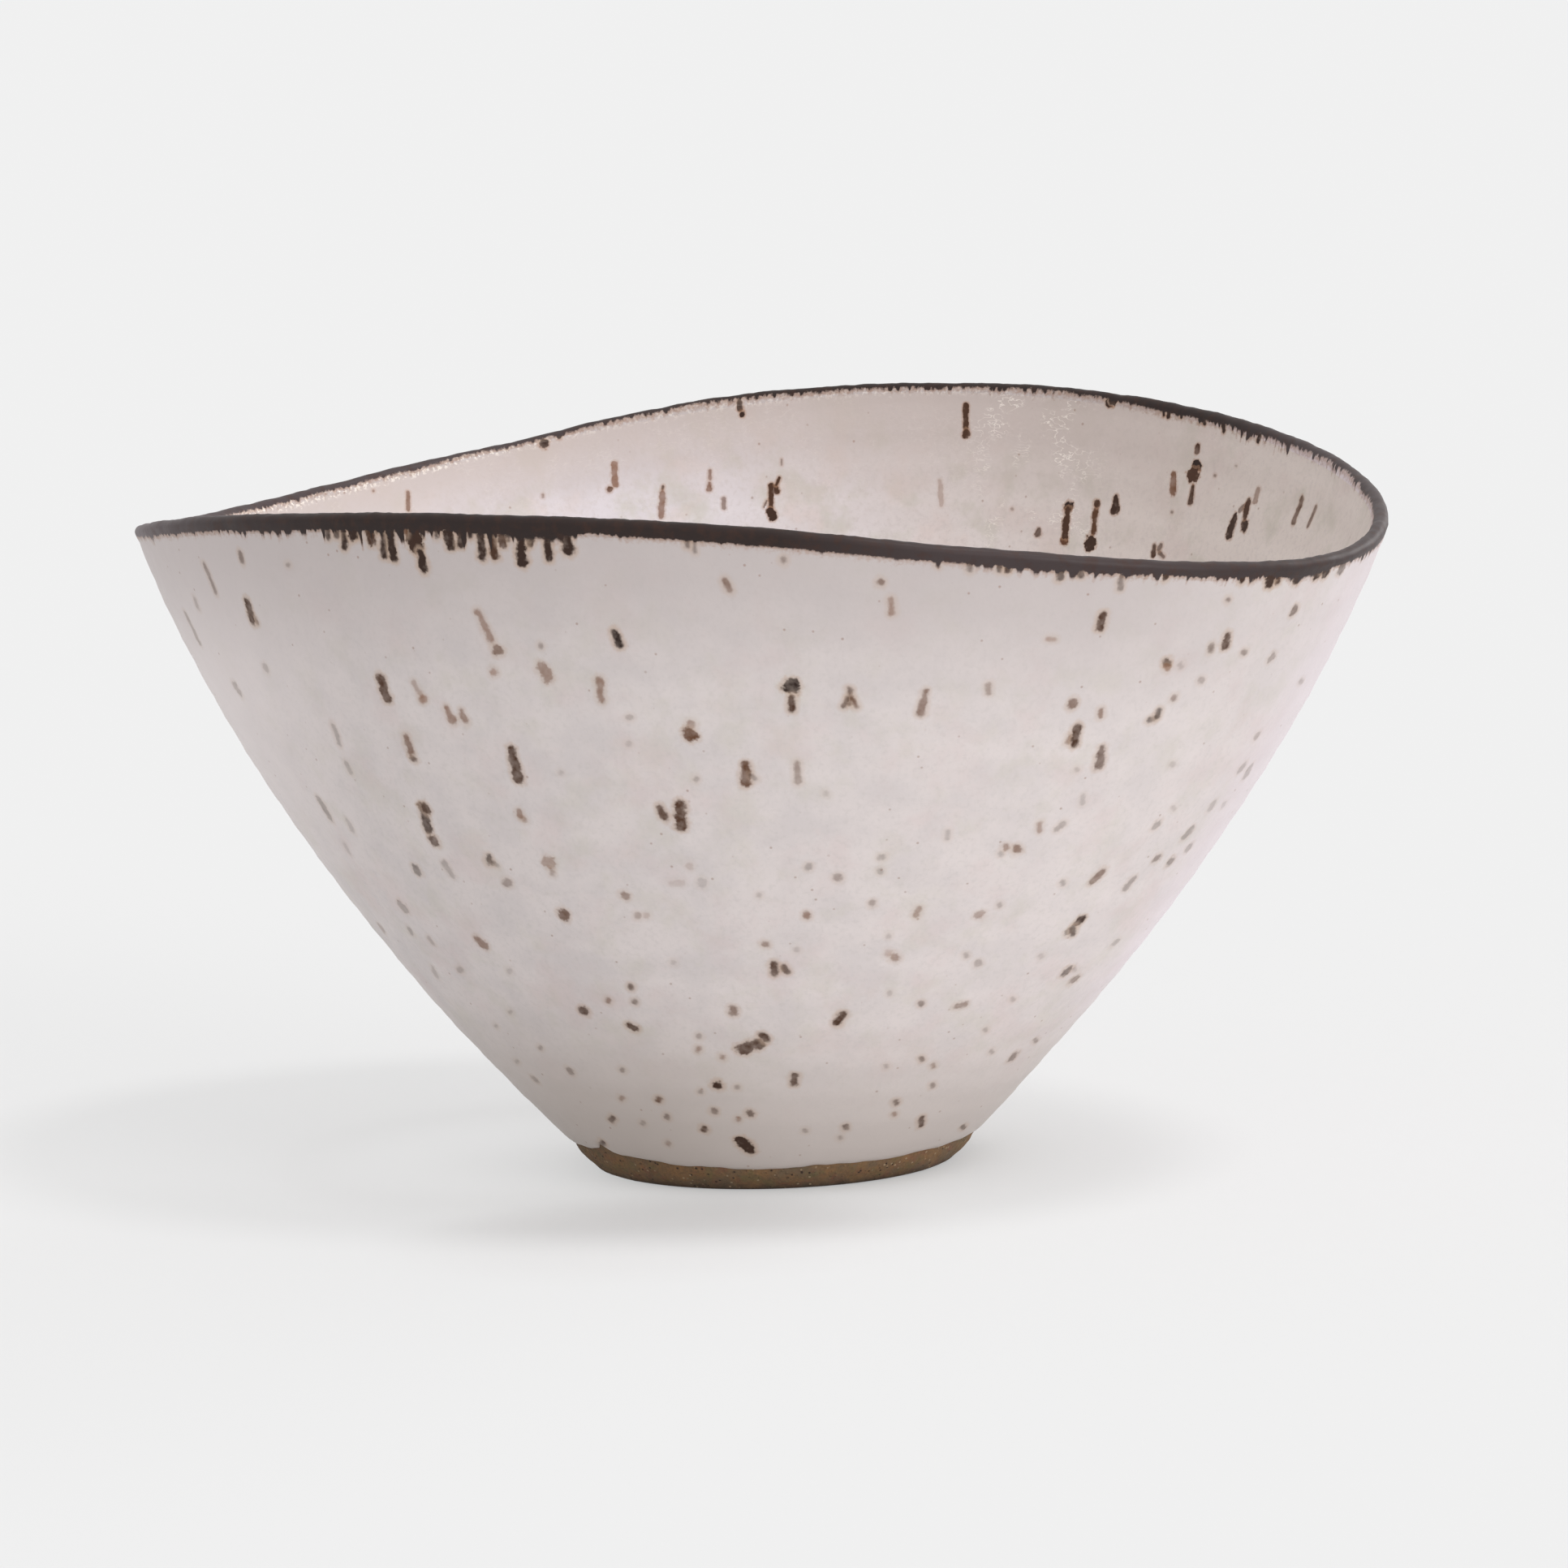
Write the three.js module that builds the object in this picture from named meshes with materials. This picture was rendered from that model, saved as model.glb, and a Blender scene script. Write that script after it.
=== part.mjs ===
import * as THREE from 'three';
import { mergeVertices } from 'three/addons/utils/BufferGeometryUtils.js';

// Stoneware bowl. It was thrown round and squeezed to an oval while the clay was soft, so the slope of
// its wall has one length all the way round: the two pressed sides stand up and the two ends dip.
// Millimetres, +Z up. The origin is under the middle of the foot, on the ground, and X is the long way.

// Rim, measured at its outer edge
const bowlLength = 220.6;
const bowlWidth = 176.8;
const rimShiftX = 1.0;
const rimShiftY = 0.4;

// Wall, from the glaze line above the foot to the rim
const wallSlant = 128;
const wallBulge = 6.9;
const bulgeHigher = 0.95;
const bulgeFlatter = 0.4;
const rimWall = 2.6;
const lowWall = 4.8;

// Hand-made unevenness: lobes around the bowl, the height of each in mm, and where it peaks in degrees
const rimPlanLobes = [
  { lobes: 1, rise: 1.08, peak: -105 },
  { lobes: 3, rise: 0.64, peak: -37 },
  { lobes: 4, rise: 0.28, peak: -27 },
];
const rimHeightLobes = [
  { lobes: 1, rise: 1.79, peak: 116 },
  { lobes: 2, rise: 0.81, peak: 89 },
  { lobes: 3, rise: 0.46, peak: -27 },
  { lobes: 4, rise: 0.2, peak: 27 },
];
const bulgeLobes = [
  { lobes: 1, rise: 0.5, peak: -141 },
  { lobes: 2, rise: 0.43, peak: 63 },
];

// Coats
const glazeThickness = 0.45;
const rimBandOutside = 3.0;
const rimBandInside = 0.8;

// Inside of the bowl, where the wall turns into the floor
const floorHeight = 9.5;
const wellStart = 0.12;
const wellCurve = 13;
const wellFlat = 20;

// Foot: bare clay below the glaze line, leaning in to a ring that stands on the ground
const glazeLineHeight = 4.6;
const glazeLineRadius = 34.6;
const baseRadius = 30.4;
const baseEdgeRound = 1.1;
const footRingWidth = 5.4;
const recessDepth = 2.6;
const recessLean = 1.0;
const recessDome = 0.5;

// Facets
const stepsAround = 64;
const wallSteps = 8;
const bandSteps = 2;
const lipSteps = 6;
const wellSteps = 5;
const edgeSteps = 3;

const clayMaterial = new THREE.MeshStandardMaterial({ color: 0x80664a, roughness: 0.85, metalness: 0 });
const outerMaterial = new THREE.MeshStandardMaterial({ color: 0xcdc4c2, roughness: 0.45, metalness: 0 });
const innerMaterial = new THREE.MeshStandardMaterial({ color: 0xd8cfcb, roughness: 0.45, metalness: 0 });
const bandMaterial = new THREE.MeshStandardMaterial({ color: 0x3a302e, roughness: 0.35, metalness: 0 });

const lipRadius = rimWall / 2;

function lobed(lobeList, angle) {
  let sum = 0;
  for (const lobe of lobeList) {
    const peak = THREE.MathUtils.degToRad(lobe.peak);
    sum += lobe.rise * Math.cos(lobe.lobes * (angle - peak));
  }
  return sum;
}

function around(radius, height, angle) {
  return new THREE.Vector3(radius * Math.cos(angle), radius * Math.sin(angle), height);
}

// The oval rim: an ellipse in plan, at the height that the wall's slope reaches over that distance
function rimPoint(angle) {
  const a = bowlLength / 2;
  const b = bowlWidth / 2;
  const ellipse = a * b / Math.hypot(b * Math.cos(angle), a * Math.sin(angle));
  const radius = ellipse + lobed(rimPlanLobes, angle);
  const run = radius - glazeLineRadius;
  const rise = Math.sqrt(wallSlant * wallSlant - run * run);
  const height = glazeLineHeight + rise + lobed(rimHeightLobes, angle);
  return around(radius, height, angle).add(new THREE.Vector3(rimShiftX, rimShiftY, 0));
}

// The glazed outside of the wall, where share runs from 0 at the glaze line to 1 at the rim
function outside(share, angle) {
  const low = around(glazeLineRadius, glazeLineHeight, angle);
  const high = rimPoint(angle);
  const slope = high.clone().sub(low);
  const run = Math.hypot(slope.x, slope.y);
  const outward = new THREE.Vector3(slope.x / run * slope.z, slope.y / run * slope.z, -run).normalize();
  const lean = 2 * share - 1;
  const fullness = wallBulge + bulgeHigher * lean + bulgeFlatter * lean * lean + lobed(bulgeLobes, angle);
  const bulge = 4 * share * (1 - share) * fullness;
  return low.lerp(high, share).addScaledVector(outward, bulge);
}

// The wall's own directions at a point: up its slope, and inward through its thickness
function wallFrame(share, angle) {
  const step = 0.001;
  const up = outside(share + step, angle).sub(outside(share - step, angle)).normalize();
  const along = outside(share, angle + step).sub(outside(share, angle - step));
  const inward = up.clone().cross(along).normalize();
  return { up, inward };
}

function inWall(share, angle, depth) {
  return outside(share, angle).addScaledVector(wallFrame(share, angle).inward, depth);
}

function wallAt(share) {
  return THREE.MathUtils.lerp(lowWall, rimWall, share);
}

// The share of the slope that lies a distance below the rim
function shareBelowRim(distance) {
  return 1 - distance / wallSlant;
}

// The rounded lip, where turn runs from 0 outside, over the top, to PI inside
function lipPoint(turn, angle, radius) {
  const { up, inward } = wallFrame(1, angle);
  const centre = outside(1, angle).addScaledVector(up, -lipRadius).addScaledVector(inward, lipRadius);
  centre.addScaledVector(inward, -radius * Math.cos(turn));
  return centre.addScaledVector(up, radius * Math.sin(turn));
}

// From the low wall to the middle of the floor, on one smooth curve
function wellPoint(part, angle, inset) {
  const start = inWall(wellStart, angle, wallAt(wellStart) - inset);
  const down = wallFrame(wellStart, angle).up.negate();
  const floor = new THREE.Vector3(0, 0, floorHeight - inset);
  const flat = floor.clone().add(new THREE.Vector3(start.x, start.y, 0).setLength(wellFlat));
  const bend = start.clone().addScaledVector(down, wellCurve);
  return new THREE.CubicBezierCurve3(start, bend, flat, floor).getPoint(part);
}

function ring(pointAt) {
  const points = [];
  for (let i = 0; i < stepsAround; i += 1) {
    points.push(pointAt(2 * Math.PI * i / stepsAround));
  }
  return points;
}

// Rings from one end of a range to the other, first and last included
function rings(from, to, steps, pointAt) {
  const list = [];
  for (let k = 0; k <= steps; k += 1) {
    const value = THREE.MathUtils.lerp(from, to, k / steps);
    list.push(ring((angle) => pointAt(value, angle)));
  }
  return list;
}

// A sheet of triangles between rings. Both sides of a joint use the same rings in the same order, so
// they get the same triangles; the flipped side faces the other way.
function sheet(ringList, flipped = false) {
  const triangles = [];
  for (let k = 0; k + 1 < ringList.length; k += 1) {
    for (let i = 0; i < stepsAround; i += 1) {
      const next = (i + 1) % stepsAround;
      const a = ringList[k][i];
      const b = ringList[k][next];
      const c = ringList[k + 1][next];
      const d = ringList[k + 1][i];
      triangles.push(flipped ? [a, c, b] : [a, b, c]);
      triangles.push(flipped ? [a, d, c] : [a, c, d]);
    }
  }
  return triangles;
}

function solid(...sheets) {
  const numbers = [];
  for (const [a, b, c] of sheets.flat()) {
    const flat = a.distanceTo(b) === 0 || b.distanceTo(c) === 0 || c.distanceTo(a) === 0;
    if (!flat) {
      numbers.push(...a.toArray(), ...b.toArray(), ...c.toArray());
    }
  }
  const geometry = new THREE.BufferGeometry();
  geometry.setAttribute('position', new THREE.Float32BufferAttribute(numbers, 3));
  const welded = mergeVertices(geometry);
  welded.computeVertexNormals();
  return welded;
}

// A coat on the clay: its own face, its clay face and the two narrow edges between them
function coat(ownRings, clayRings) {
  const firstEdge = [clayRings[0], ownRings[0]];
  const lastEdge = [clayRings.at(-1), ownRings.at(-1)];
  return solid(sheet(ownRings), sheet(clayRings, true), sheet(firstEdge), sheet(lastEdge, true));
}

// Outside of the wall, from the glaze line up to the rim band
const bandEdge = shareBelowRim(rimBandOutside);
const outerGlazeRings = rings(0, bandEdge, wallSteps, (share, angle) => outside(share, angle));
const outerClayRings = rings(0, bandEdge, wallSteps, (share, angle) => inWall(share, angle, glazeThickness));

// Rim band, from its outer edge over the lip to its inner edge
const lipStart = shareBelowRim(lipRadius);
const innerEdge = shareBelowRim(lipRadius + rimBandInside);

function bandRings(inset) {
  const up = rings(bandEdge, lipStart, bandSteps, (share, angle) => inWall(share, angle, inset));
  const over = rings(0, Math.PI, lipSteps, (turn, angle) => lipPoint(turn, angle, lipRadius - inset));
  const down = ring((angle) => inWall(innerEdge, angle, wallAt(innerEdge) - inset));
  return [...up.slice(0, -1), ...over, down];
}

const bandOwnRings = [outerGlazeRings.at(-1), ...bandRings(0).slice(1)];
const bandClayRings = [outerClayRings.at(-1), ...bandRings(glazeThickness).slice(1)];

// Inside of the wall, from the rim band down to the middle of the floor
function innerRings(inset, firstRing) {
  const wall = rings(innerEdge, wellStart, wallSteps, (share, angle) => (
    inWall(share, angle, wallAt(share) - inset)
  ));
  const well = rings(0, 1, wellSteps, (part, angle) => wellPoint(part, angle, inset));
  return [firstRing, ...wall.slice(1), ...well.slice(1)];
}

const innerGlazeRings = innerRings(0, bandOwnRings.at(-1));
const innerClayRings = innerRings(glazeThickness, bandClayRings.at(-1));

// Underside of the foot, from the middle of the recess out to the glaze line
function footRings() {
  const recessTop = recessDepth + recessDome;
  const ringInside = baseRadius - footRingWidth;
  const edgeStart = new THREE.Vector3(baseRadius - baseEdgeRound, 0, 0);
  const edgeCorner = new THREE.Vector3(baseRadius, 0, 0);
  const glazeLine = outerClayRings[0][0];
  const slope = new THREE.Vector3(Math.hypot(glazeLine.x, glazeLine.y), 0, glazeLine.z).sub(edgeCorner);
  const edgeEnd = edgeCorner.clone().add(slope.setLength(baseEdgeRound));
  const edge = new THREE.QuadraticBezierCurve3(edgeStart, edgeCorner, edgeEnd);
  return [
    ring(() => new THREE.Vector3(0, 0, recessTop)),
    ring((angle) => around(ringInside / 2, recessTop - recessDome / 4, angle)),
    ring((angle) => around(ringInside - recessLean, recessDepth, angle)),
    ring((angle) => around(ringInside, 0, angle)),
    ...rings(0, 1, edgeSteps, (part, angle) => {
      const point = edge.getPoint(part);
      return around(point.x, point.z, angle);
    }),
    outerClayRings[0],
  ];
}

function piece(name, geometry, material) {
  const mesh = new THREE.Mesh(geometry, material);
  mesh.name = name;
  return mesh;
}

const bodyGeometry = solid(
  sheet(footRings()),
  sheet(outerClayRings),
  sheet(bandClayRings),
  sheet(innerClayRings),
);

const bowl = new THREE.Group();
bowl.add(piece('stoneware_body', bodyGeometry, clayMaterial));
bowl.add(piece('outer_glaze', coat(outerGlazeRings, outerClayRings), outerMaterial));
bowl.add(piece('inner_glaze', coat(innerGlazeRings, innerClayRings), innerMaterial));
bowl.add(piece('rim_band', coat(bandOwnRings, bandClayRings), bandMaterial));

export default bowl;
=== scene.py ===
"""Stoneware bowl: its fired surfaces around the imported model, and a plain studio."""
import math
import random
from collections import namedtuple

import bpy
import numpy as np
from mathutils import Matrix, Vector, noise
from mathutils.bvhtree import BVHTree


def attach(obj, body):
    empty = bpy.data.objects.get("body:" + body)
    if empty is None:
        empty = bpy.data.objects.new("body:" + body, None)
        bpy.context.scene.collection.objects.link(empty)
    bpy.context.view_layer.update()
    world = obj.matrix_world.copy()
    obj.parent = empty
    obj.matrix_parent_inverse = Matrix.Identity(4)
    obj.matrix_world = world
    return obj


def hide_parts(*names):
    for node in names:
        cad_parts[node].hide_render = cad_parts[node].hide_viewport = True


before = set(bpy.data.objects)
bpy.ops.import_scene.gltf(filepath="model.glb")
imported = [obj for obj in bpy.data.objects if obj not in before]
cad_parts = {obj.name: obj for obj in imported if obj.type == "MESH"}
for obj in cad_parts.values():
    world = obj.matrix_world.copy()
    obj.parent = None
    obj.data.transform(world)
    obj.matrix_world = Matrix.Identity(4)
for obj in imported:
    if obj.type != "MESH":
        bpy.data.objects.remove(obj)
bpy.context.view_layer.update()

MM = 0.001

# The photograph, in its own pixels, and the camera that took it, in millimetres and degrees
PHOTO_SIDE = 1932
PHOTO_FOCAL = 11001.6
SENSOR = 36.0
CAMERA_AZIMUTH = 28.34
CAMERA_ELEVATION = 7.72
CAMERA_ROLL = 1.85
CAMERA_DISTANCE = 1508.2
CAMERA_TARGET = (3.05, 1.54, 63.98)

# The bowl's shape, in millimetres and degrees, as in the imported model
BOWL_LENGTH = 220.6
BOWL_WIDTH = 176.8
RIM_SHIFT = (1.0, 0.4, 0.0)
WALL_SLANT = 128.0
WALL_BULGE = 6.9
BULGE_HIGHER = 0.95
BULGE_FLATTER = 0.4
RIM_WALL = 2.6
LOW_WALL = 4.8
LIP_RADIUS = RIM_WALL / 2
Lobe = namedtuple("Lobe", "count rise peak")
RIM_PLAN_LOBES = (Lobe(1, 1.08, -105), Lobe(3, 0.64, -37), Lobe(4, 0.28, -27))
RIM_HEIGHT_LOBES = (Lobe(1, 1.79, 116), Lobe(2, 0.81, 89), Lobe(3, 0.46, -27), Lobe(4, 0.2, 27))
BULGE_LOBES = (Lobe(1, 0.5, -141), Lobe(2, 0.43, 63))
GLAZE = 0.45
BAND_OUTSIDE = 3.0
BAND_INSIDE = 0.8
FLOOR_HEIGHT = 9.5
WELL_START = 0.12
WELL_CURVE = 13.0
WELL_FLAT = 20.0
GLAZE_LINE_HEIGHT = 4.6
GLAZE_LINE_RADIUS = 34.6
BASE_RADIUS = 30.4
BASE_EDGE_ROUND = 1.1
FOOT_RING_WIDTH = 5.4
RECESS_DEPTH = 2.6
RECESS_LEAN = 1.0
RECESS_DOME = 0.5

# Hand-made unevenness: layers of smooth noise, each with its height and lump size in millimetres
Layer = namedtuple("Layer", "height size seed")
WALL_LUMPS = (Layer(0.22, 42.0, 0.0), Layer(0.07, 13.0, 5.0))
GLAZE_EDGE_LUMPS = (Layer(0.5, 9.0, 3.0), Layer(0.3, 3.2, 8.0))
BAND_BUMPS = (Layer(0.09, 1.5, 2.0), Layer(0.12, 4.2, 4.0), Layer(0.06, 0.8, 9.0))
LIP_WAVER = (Layer(0.08, 17.0, 1.0), Layer(0.12, 6.0, 7.0))
FOOT_GRIT = (Layer(0.10, 1.1, 1.0), Layer(0.16, 3.5, 6.0))

# Finger rings up the wall, as (height, spacing), and the climb over which they and the lumps set in
FINGER_RINGS = ((0.05, 7.3), (0.03, 3.1))
UNEVEN_CLIMB = 12.0

# Climbs of the rings that round off the glaze's lower end
GLAZE_ROLL = np.array([0.0, 0.1, 0.28, 0.6, 1.1, 1.8])

# Foot: turning marks in the recess, how near its rows go to the middle and the corners, the slope's
# fullness, where the grit stands out, and how much it lifts the underside
TURNING_HEIGHT = 0.09
TURNING_SPACING = 2.3
RECESS_MIDDLE = 1.0
RECESS_CORNER = 0.6
RING_CORNER = 0.5
FOOT_FULLNESS = 0.35
GRIT_INSIDE_RING = 2.0
GRIT_ABOVE = 0.15
UNDERSIDE_LIFT = 0.12
UNDERSIDE_ROUGHNESS = 0.1

# How finely the surfaces are drawn: steps around, rows of points, and the angle of a sharp crease
AROUND = 640
WALL_ROWS = 92
HIDDEN_ROWS = 10
BAND_ROWS = 8
LIP_ROWS = 14
WELL_ROWS = 26
CLAY_WALL_ROWS = 16
CLAY_BAND_ROWS = 3
CLAY_INSIDE_ROWS = 12
CLAY_WELL_ROWS = 8
RECESS_ROWS = 30
RECESS_WALL_ROWS = 7
FOOT_RING_ROWS = 8
FOOT_EDGE_ROWS = 8
FOOT_SLOPE_ROWS = 14
CREASE_ANGLE = 50


def add_object(name, data):
    thing = bpy.data.objects.new(name, data)
    bpy.context.scene.collection.objects.link(thing)
    return thing


def camera_matrix():
    """Where the photograph was taken from, as a matrix in metres."""
    a = math.radians(CAMERA_AZIMUTH)
    e = math.radians(CAMERA_ELEVATION)
    back = Vector((math.sin(a) * math.cos(e), -math.cos(a) * math.cos(e), math.sin(e)))
    place = (Vector(CAMERA_TARGET) + back * CAMERA_DISTANCE) * MM
    turn = (-back).to_track_quat("-Z", "Y").to_matrix()
    roll = Matrix.Rotation(-math.radians(CAMERA_ROLL), 3, "Z")
    return Matrix.Translation(place) @ (turn @ roll).to_4x4()


def make_camera():
    data = bpy.data.cameras.new("camera")
    data.sensor_width = SENSOR
    data.lens = SENSOR * PHOTO_FOCAL / PHOTO_SIDE
    data.clip_start = 0.05
    data.clip_end = 60.0
    camera = add_object("camera", data)
    camera.matrix_world = camera_matrix()
    bpy.context.scene.camera = camera


# The bowl's surfaces. share runs up the wall's slope from 0 at the glaze line to 1 at the rim, and
# angle runs round it from +X, in radians. Both are arrays of one shape, and points are in millimetres.


def lobed(lobes, angle):
    total = np.zeros_like(angle)
    for lobe in lobes:
        total = total + lobe.rise * np.cos(lobe.count * (angle - math.radians(lobe.peak)))
    return total


def around(radius, height, angle):
    flat = np.zeros_like(angle)
    return np.stack([radius * np.cos(angle), radius * np.sin(angle), height + flat], -1)


def on_axis(height):
    return (0.0, 0.0, height)


def unit(vectors):
    return vectors / np.linalg.norm(vectors, axis=-1, keepdims=True)


def rough(points, size, seed):
    """Smooth noise from -1 to 1 at each point, with lumps of a size in millimetres."""
    flat = points.reshape(-1, 3) / size + seed
    values = [noise.noise(Vector(p)) for p in flat]
    return np.array(values).reshape(points.shape[:-1])


def lumpy(points, layers):
    """Layers of smooth noise added up, in millimetres."""
    return sum(layer.height * rough(points, layer.size, layer.seed) for layer in layers)


def rim_point(angle):
    """The rim's outer edge: an ellipse in plan, at the height that the wall's slope reaches."""
    a = BOWL_LENGTH / 2
    b = BOWL_WIDTH / 2
    ellipse = a * b / np.hypot(b * np.cos(angle), a * np.sin(angle))
    radius = ellipse + lobed(RIM_PLAN_LOBES, angle)
    rise = np.sqrt(WALL_SLANT ** 2 - (radius - GLAZE_LINE_RADIUS) ** 2)
    height = GLAZE_LINE_HEIGHT + rise + lobed(RIM_HEIGHT_LOBES, angle)
    return around(radius, height, angle) + np.array(RIM_SHIFT)


def outside(share, angle):
    low = around(GLAZE_LINE_RADIUS, GLAZE_LINE_HEIGHT, angle)
    high = rim_point(angle)
    slope = high - low
    run = np.hypot(slope[..., 0], slope[..., 1])
    steep = slope[..., 2] / run
    outward = unit(np.stack([slope[..., 0] * steep, slope[..., 1] * steep, -run], -1))
    lean = 2 * share - 1
    fullness = WALL_BULGE + BULGE_HIGHER * lean + BULGE_FLATTER * lean ** 2 + lobed(BULGE_LOBES, angle)
    bulge = 4 * share * (1 - share) * fullness
    return low + slope * share[..., None] + outward * bulge[..., None]


def wall_frame(share, angle):
    """Directions up the wall's slope and inward through its thickness."""
    step = 0.001
    up = unit(outside(share + step, angle) - outside(share - step, angle))
    along = outside(share, angle + step) - outside(share, angle - step)
    inward = unit(np.cross(up, along))
    return up, inward


def unevenness(points, share, angle):
    """How far the thrown wall stands out from its smooth shape: finger rings and slow lumps."""
    climb = share * WALL_SLANT
    rings = sum(height * np.sin(2 * math.pi * climb / spacing + angle) for height, spacing in FINGER_RINGS)
    fade = np.clip(climb / UNEVEN_CLIMB, 0.0, 1.0)
    return (rings + lumpy(points, WALL_LUMPS)) * fade


def in_wall(share, angle, depth):
    points = outside(share, angle)
    inward = wall_frame(share, angle)[1]
    return points + inward * (depth - unevenness(points, share, angle))[..., None]


def wall_at(share):
    return LOW_WALL + (RIM_WALL - LOW_WALL) * share


def share_below_rim(distance):
    return 1 - distance / WALL_SLANT


def lip_point(turn, angle, radius):
    """The rounded lip, where turn runs from 0 outside, over the top, to pi inside."""
    top = np.ones_like(angle)
    up, inward = wall_frame(top, angle)
    points = outside(top, angle)
    centre = points + inward * (LIP_RADIUS - unevenness(points, top, angle))[..., None] - up * LIP_RADIUS
    across = inward * (-radius * np.cos(turn))[..., None]
    return centre + across + up * (radius * np.sin(turn))[..., None]


def well_point(part, angle, inset):
    """From the low wall to the middle of the floor, on one smooth curve."""
    start_share = np.full_like(angle, WELL_START)
    start = in_wall(start_share, angle, wall_at(start_share) - inset)
    up = wall_frame(start_share, angle)[0]
    floor = np.array(on_axis(FLOOR_HEIGHT - inset))
    outward = start * np.array([1.0, 1.0, 0.0])
    flat = floor + unit(outward) * WELL_FLAT
    bend = start - up * WELL_CURVE
    t = part[..., None]
    return start * (1 - t) ** 3 + 3 * bend * t * (1 - t) ** 2 + 3 * flat * t ** 2 * (1 - t) + floor * t ** 3


ANGLES = np.arange(AROUND) * 2 * math.pi / AROUND


def rows(values, point_at):
    """One ring of points for each value."""
    grid, angle = np.meshgrid(np.asarray(values, float), ANGLES, indexing="ij")
    return point_at(grid, angle)


def glaze_edge(angle):
    """How far the glaze stops above its line, in millimetres up the slope."""
    ring = around(GLAZE_LINE_RADIUS, 0.0, angle)
    return stops_at(GLAZE_STOPS, angle) + lumpy(ring, GLAZE_EDGE_LUMPS)


def outer_coat_rows():
    """The glazed outside, from a rolled edge above the foot up to the rim band."""
    rolled = GLAZE_ROLL[-1]
    thick = GLAZE * np.sqrt(1 - (1 - GLAZE_ROLL / rolled) ** 2)
    climbs = np.concatenate([GLAZE_ROLL[:-1], np.linspace(rolled, WALL_SLANT - BAND_OUTSIDE, WALL_ROWS)])
    covers = np.concatenate([thick[:-1], np.full(WALL_ROWS, GLAZE)])
    climb, angle = np.meshgrid(climbs, ANGLES, indexing="ij")
    cover = np.meshgrid(covers, ANGLES, indexing="ij")[0]
    fade = 1 - climb / climbs[-1]
    share = (climb + glaze_edge(ANGLES)[None, :] * fade) / WALL_SLANT
    return in_wall(share, angle, GLAZE - cover), share


def face_grid(count, closed):
    """Corner numbers of the quads between rings, ring by ring."""
    k = np.arange(count if closed else count - 1)[:, None]
    i = np.arange(AROUND)[None, :]
    after = (i + 1) % AROUND
    above = (k + 1) % count
    quads = np.stack([k * AROUND + i, k * AROUND + after, above * AROUND + after, above * AROUND + i], -1)
    return quads.reshape(-1, 4)


def ring_mesh(name, rings, start_pole=None, end_pole=None):
    """A closed mesh from rings of points: a hollow loop, or a body with a point at either end."""
    count = len(rings)
    closed = start_pole is None and end_pole is None
    points = rings.reshape(-1, 3)
    faces = face_grid(count, closed).tolist()
    extra = []
    for pole, ring, order in ((start_pole, 0, 1), (end_pole, count - 1, -1)):
        if pole is None:
            continue
        tip = len(points) + len(extra)
        extra.append(pole)
        for i in range(AROUND):
            corners = [ring * AROUND + i, tip, ring * AROUND + (i + 1) % AROUND]
            faces.append(corners[::order])
    if extra:
        points = np.concatenate([points, np.array(extra)])
    mesh = bpy.data.meshes.new(name)
    mesh.from_pydata((points * MM).tolist(), [], faces)
    mesh.shade_smooth()
    mesh.set_sharp_from_angle(angle=math.radians(CREASE_ANGLE))
    mesh.update()
    return add_object(name, mesh)


def rim_address(angle, below):
    """Where each point is on the wall: over the plan of the rim, and its distance below the lip."""
    plan = rim_point(angle)
    return np.stack([plan[..., 0], plan[..., 1], below], -1)


# The dark band's lower edge round the rim, as (degrees, millimetres below the lip), and its teeth's length
OUTSIDE_EDGE = (
    (0, 1.8), (10, 2.1), (60, 2.6), (110, 2.9), (160, 2.6), (190, 2.0), (205, 1.8), (214, 2.2),
    (230, 2.3), (240, 2.6), (250, 2.7), (262, 3.0), (267, 3.3), (271, 3.8), (276, 3.7), (278, 3.2),
    (280, 2.3), (286, 2.7), (300, 2.7), (310, 2.9), (322, 2.7), (330, 2.35), (336, 2.1), (342, 2.3),
    (347, 2.2), (351, 3.4), (354, 3.0), (356, 2.2),
)
OUTSIDE_TEETH = (
    (0, 0.5), (50, 0.6), (110, 0.9), (160, 0.5), (200, 0.35), (235, 0.5), (246, 1.3), (272, 1.4),
    (280, 0.4), (290, 0.15), (309, 0.15), (318, 0.7), (345, 0.7),
)
INSIDE_EDGE = (
    (0, 1.6), (18, 1.2), (30, 0.95), (38, 1.1), (46, 1.5), (58, 1.6), (64, 1.8), (70, 1.5),
    (73, 1.2), (80, 1.05), (92, 1.05), (112, 1.1), (120, 1.0), (128, 0.9), (140, 1.05), (147, 0.95),
    (155, 1.3), (180, 1.35), (200, 1.3), (215, 1.5), (270, 1.7), (320, 1.5),
)
INSIDE_TEETH = (
    (0, 0.3), (24, 0.4), (44, 0.7), (56, 0.7), (64, 0.35), (70, 0.35), (73, 0.4), (120, 0.25),
    (190, 0.3), (230, 0.6), (280, 0.9), (330, 0.4),
)

# How pale the band is, from 0 to 1
BAND_PALENESS = (
    (0, 0.2), (12, 0.3), (40, 0.35), (54, 0.08), (58, 0.0), (116, 0.0), (130, 0.15), (150, 0.37),
    (180, 0.4), (196, 0.9), (210, 1.0), (220, 0.5), (232, 0.15), (250, 0.0), (300, 0.0), (315, 0.26),
    (335, 0.22), (350, 0.11),
)

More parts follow.
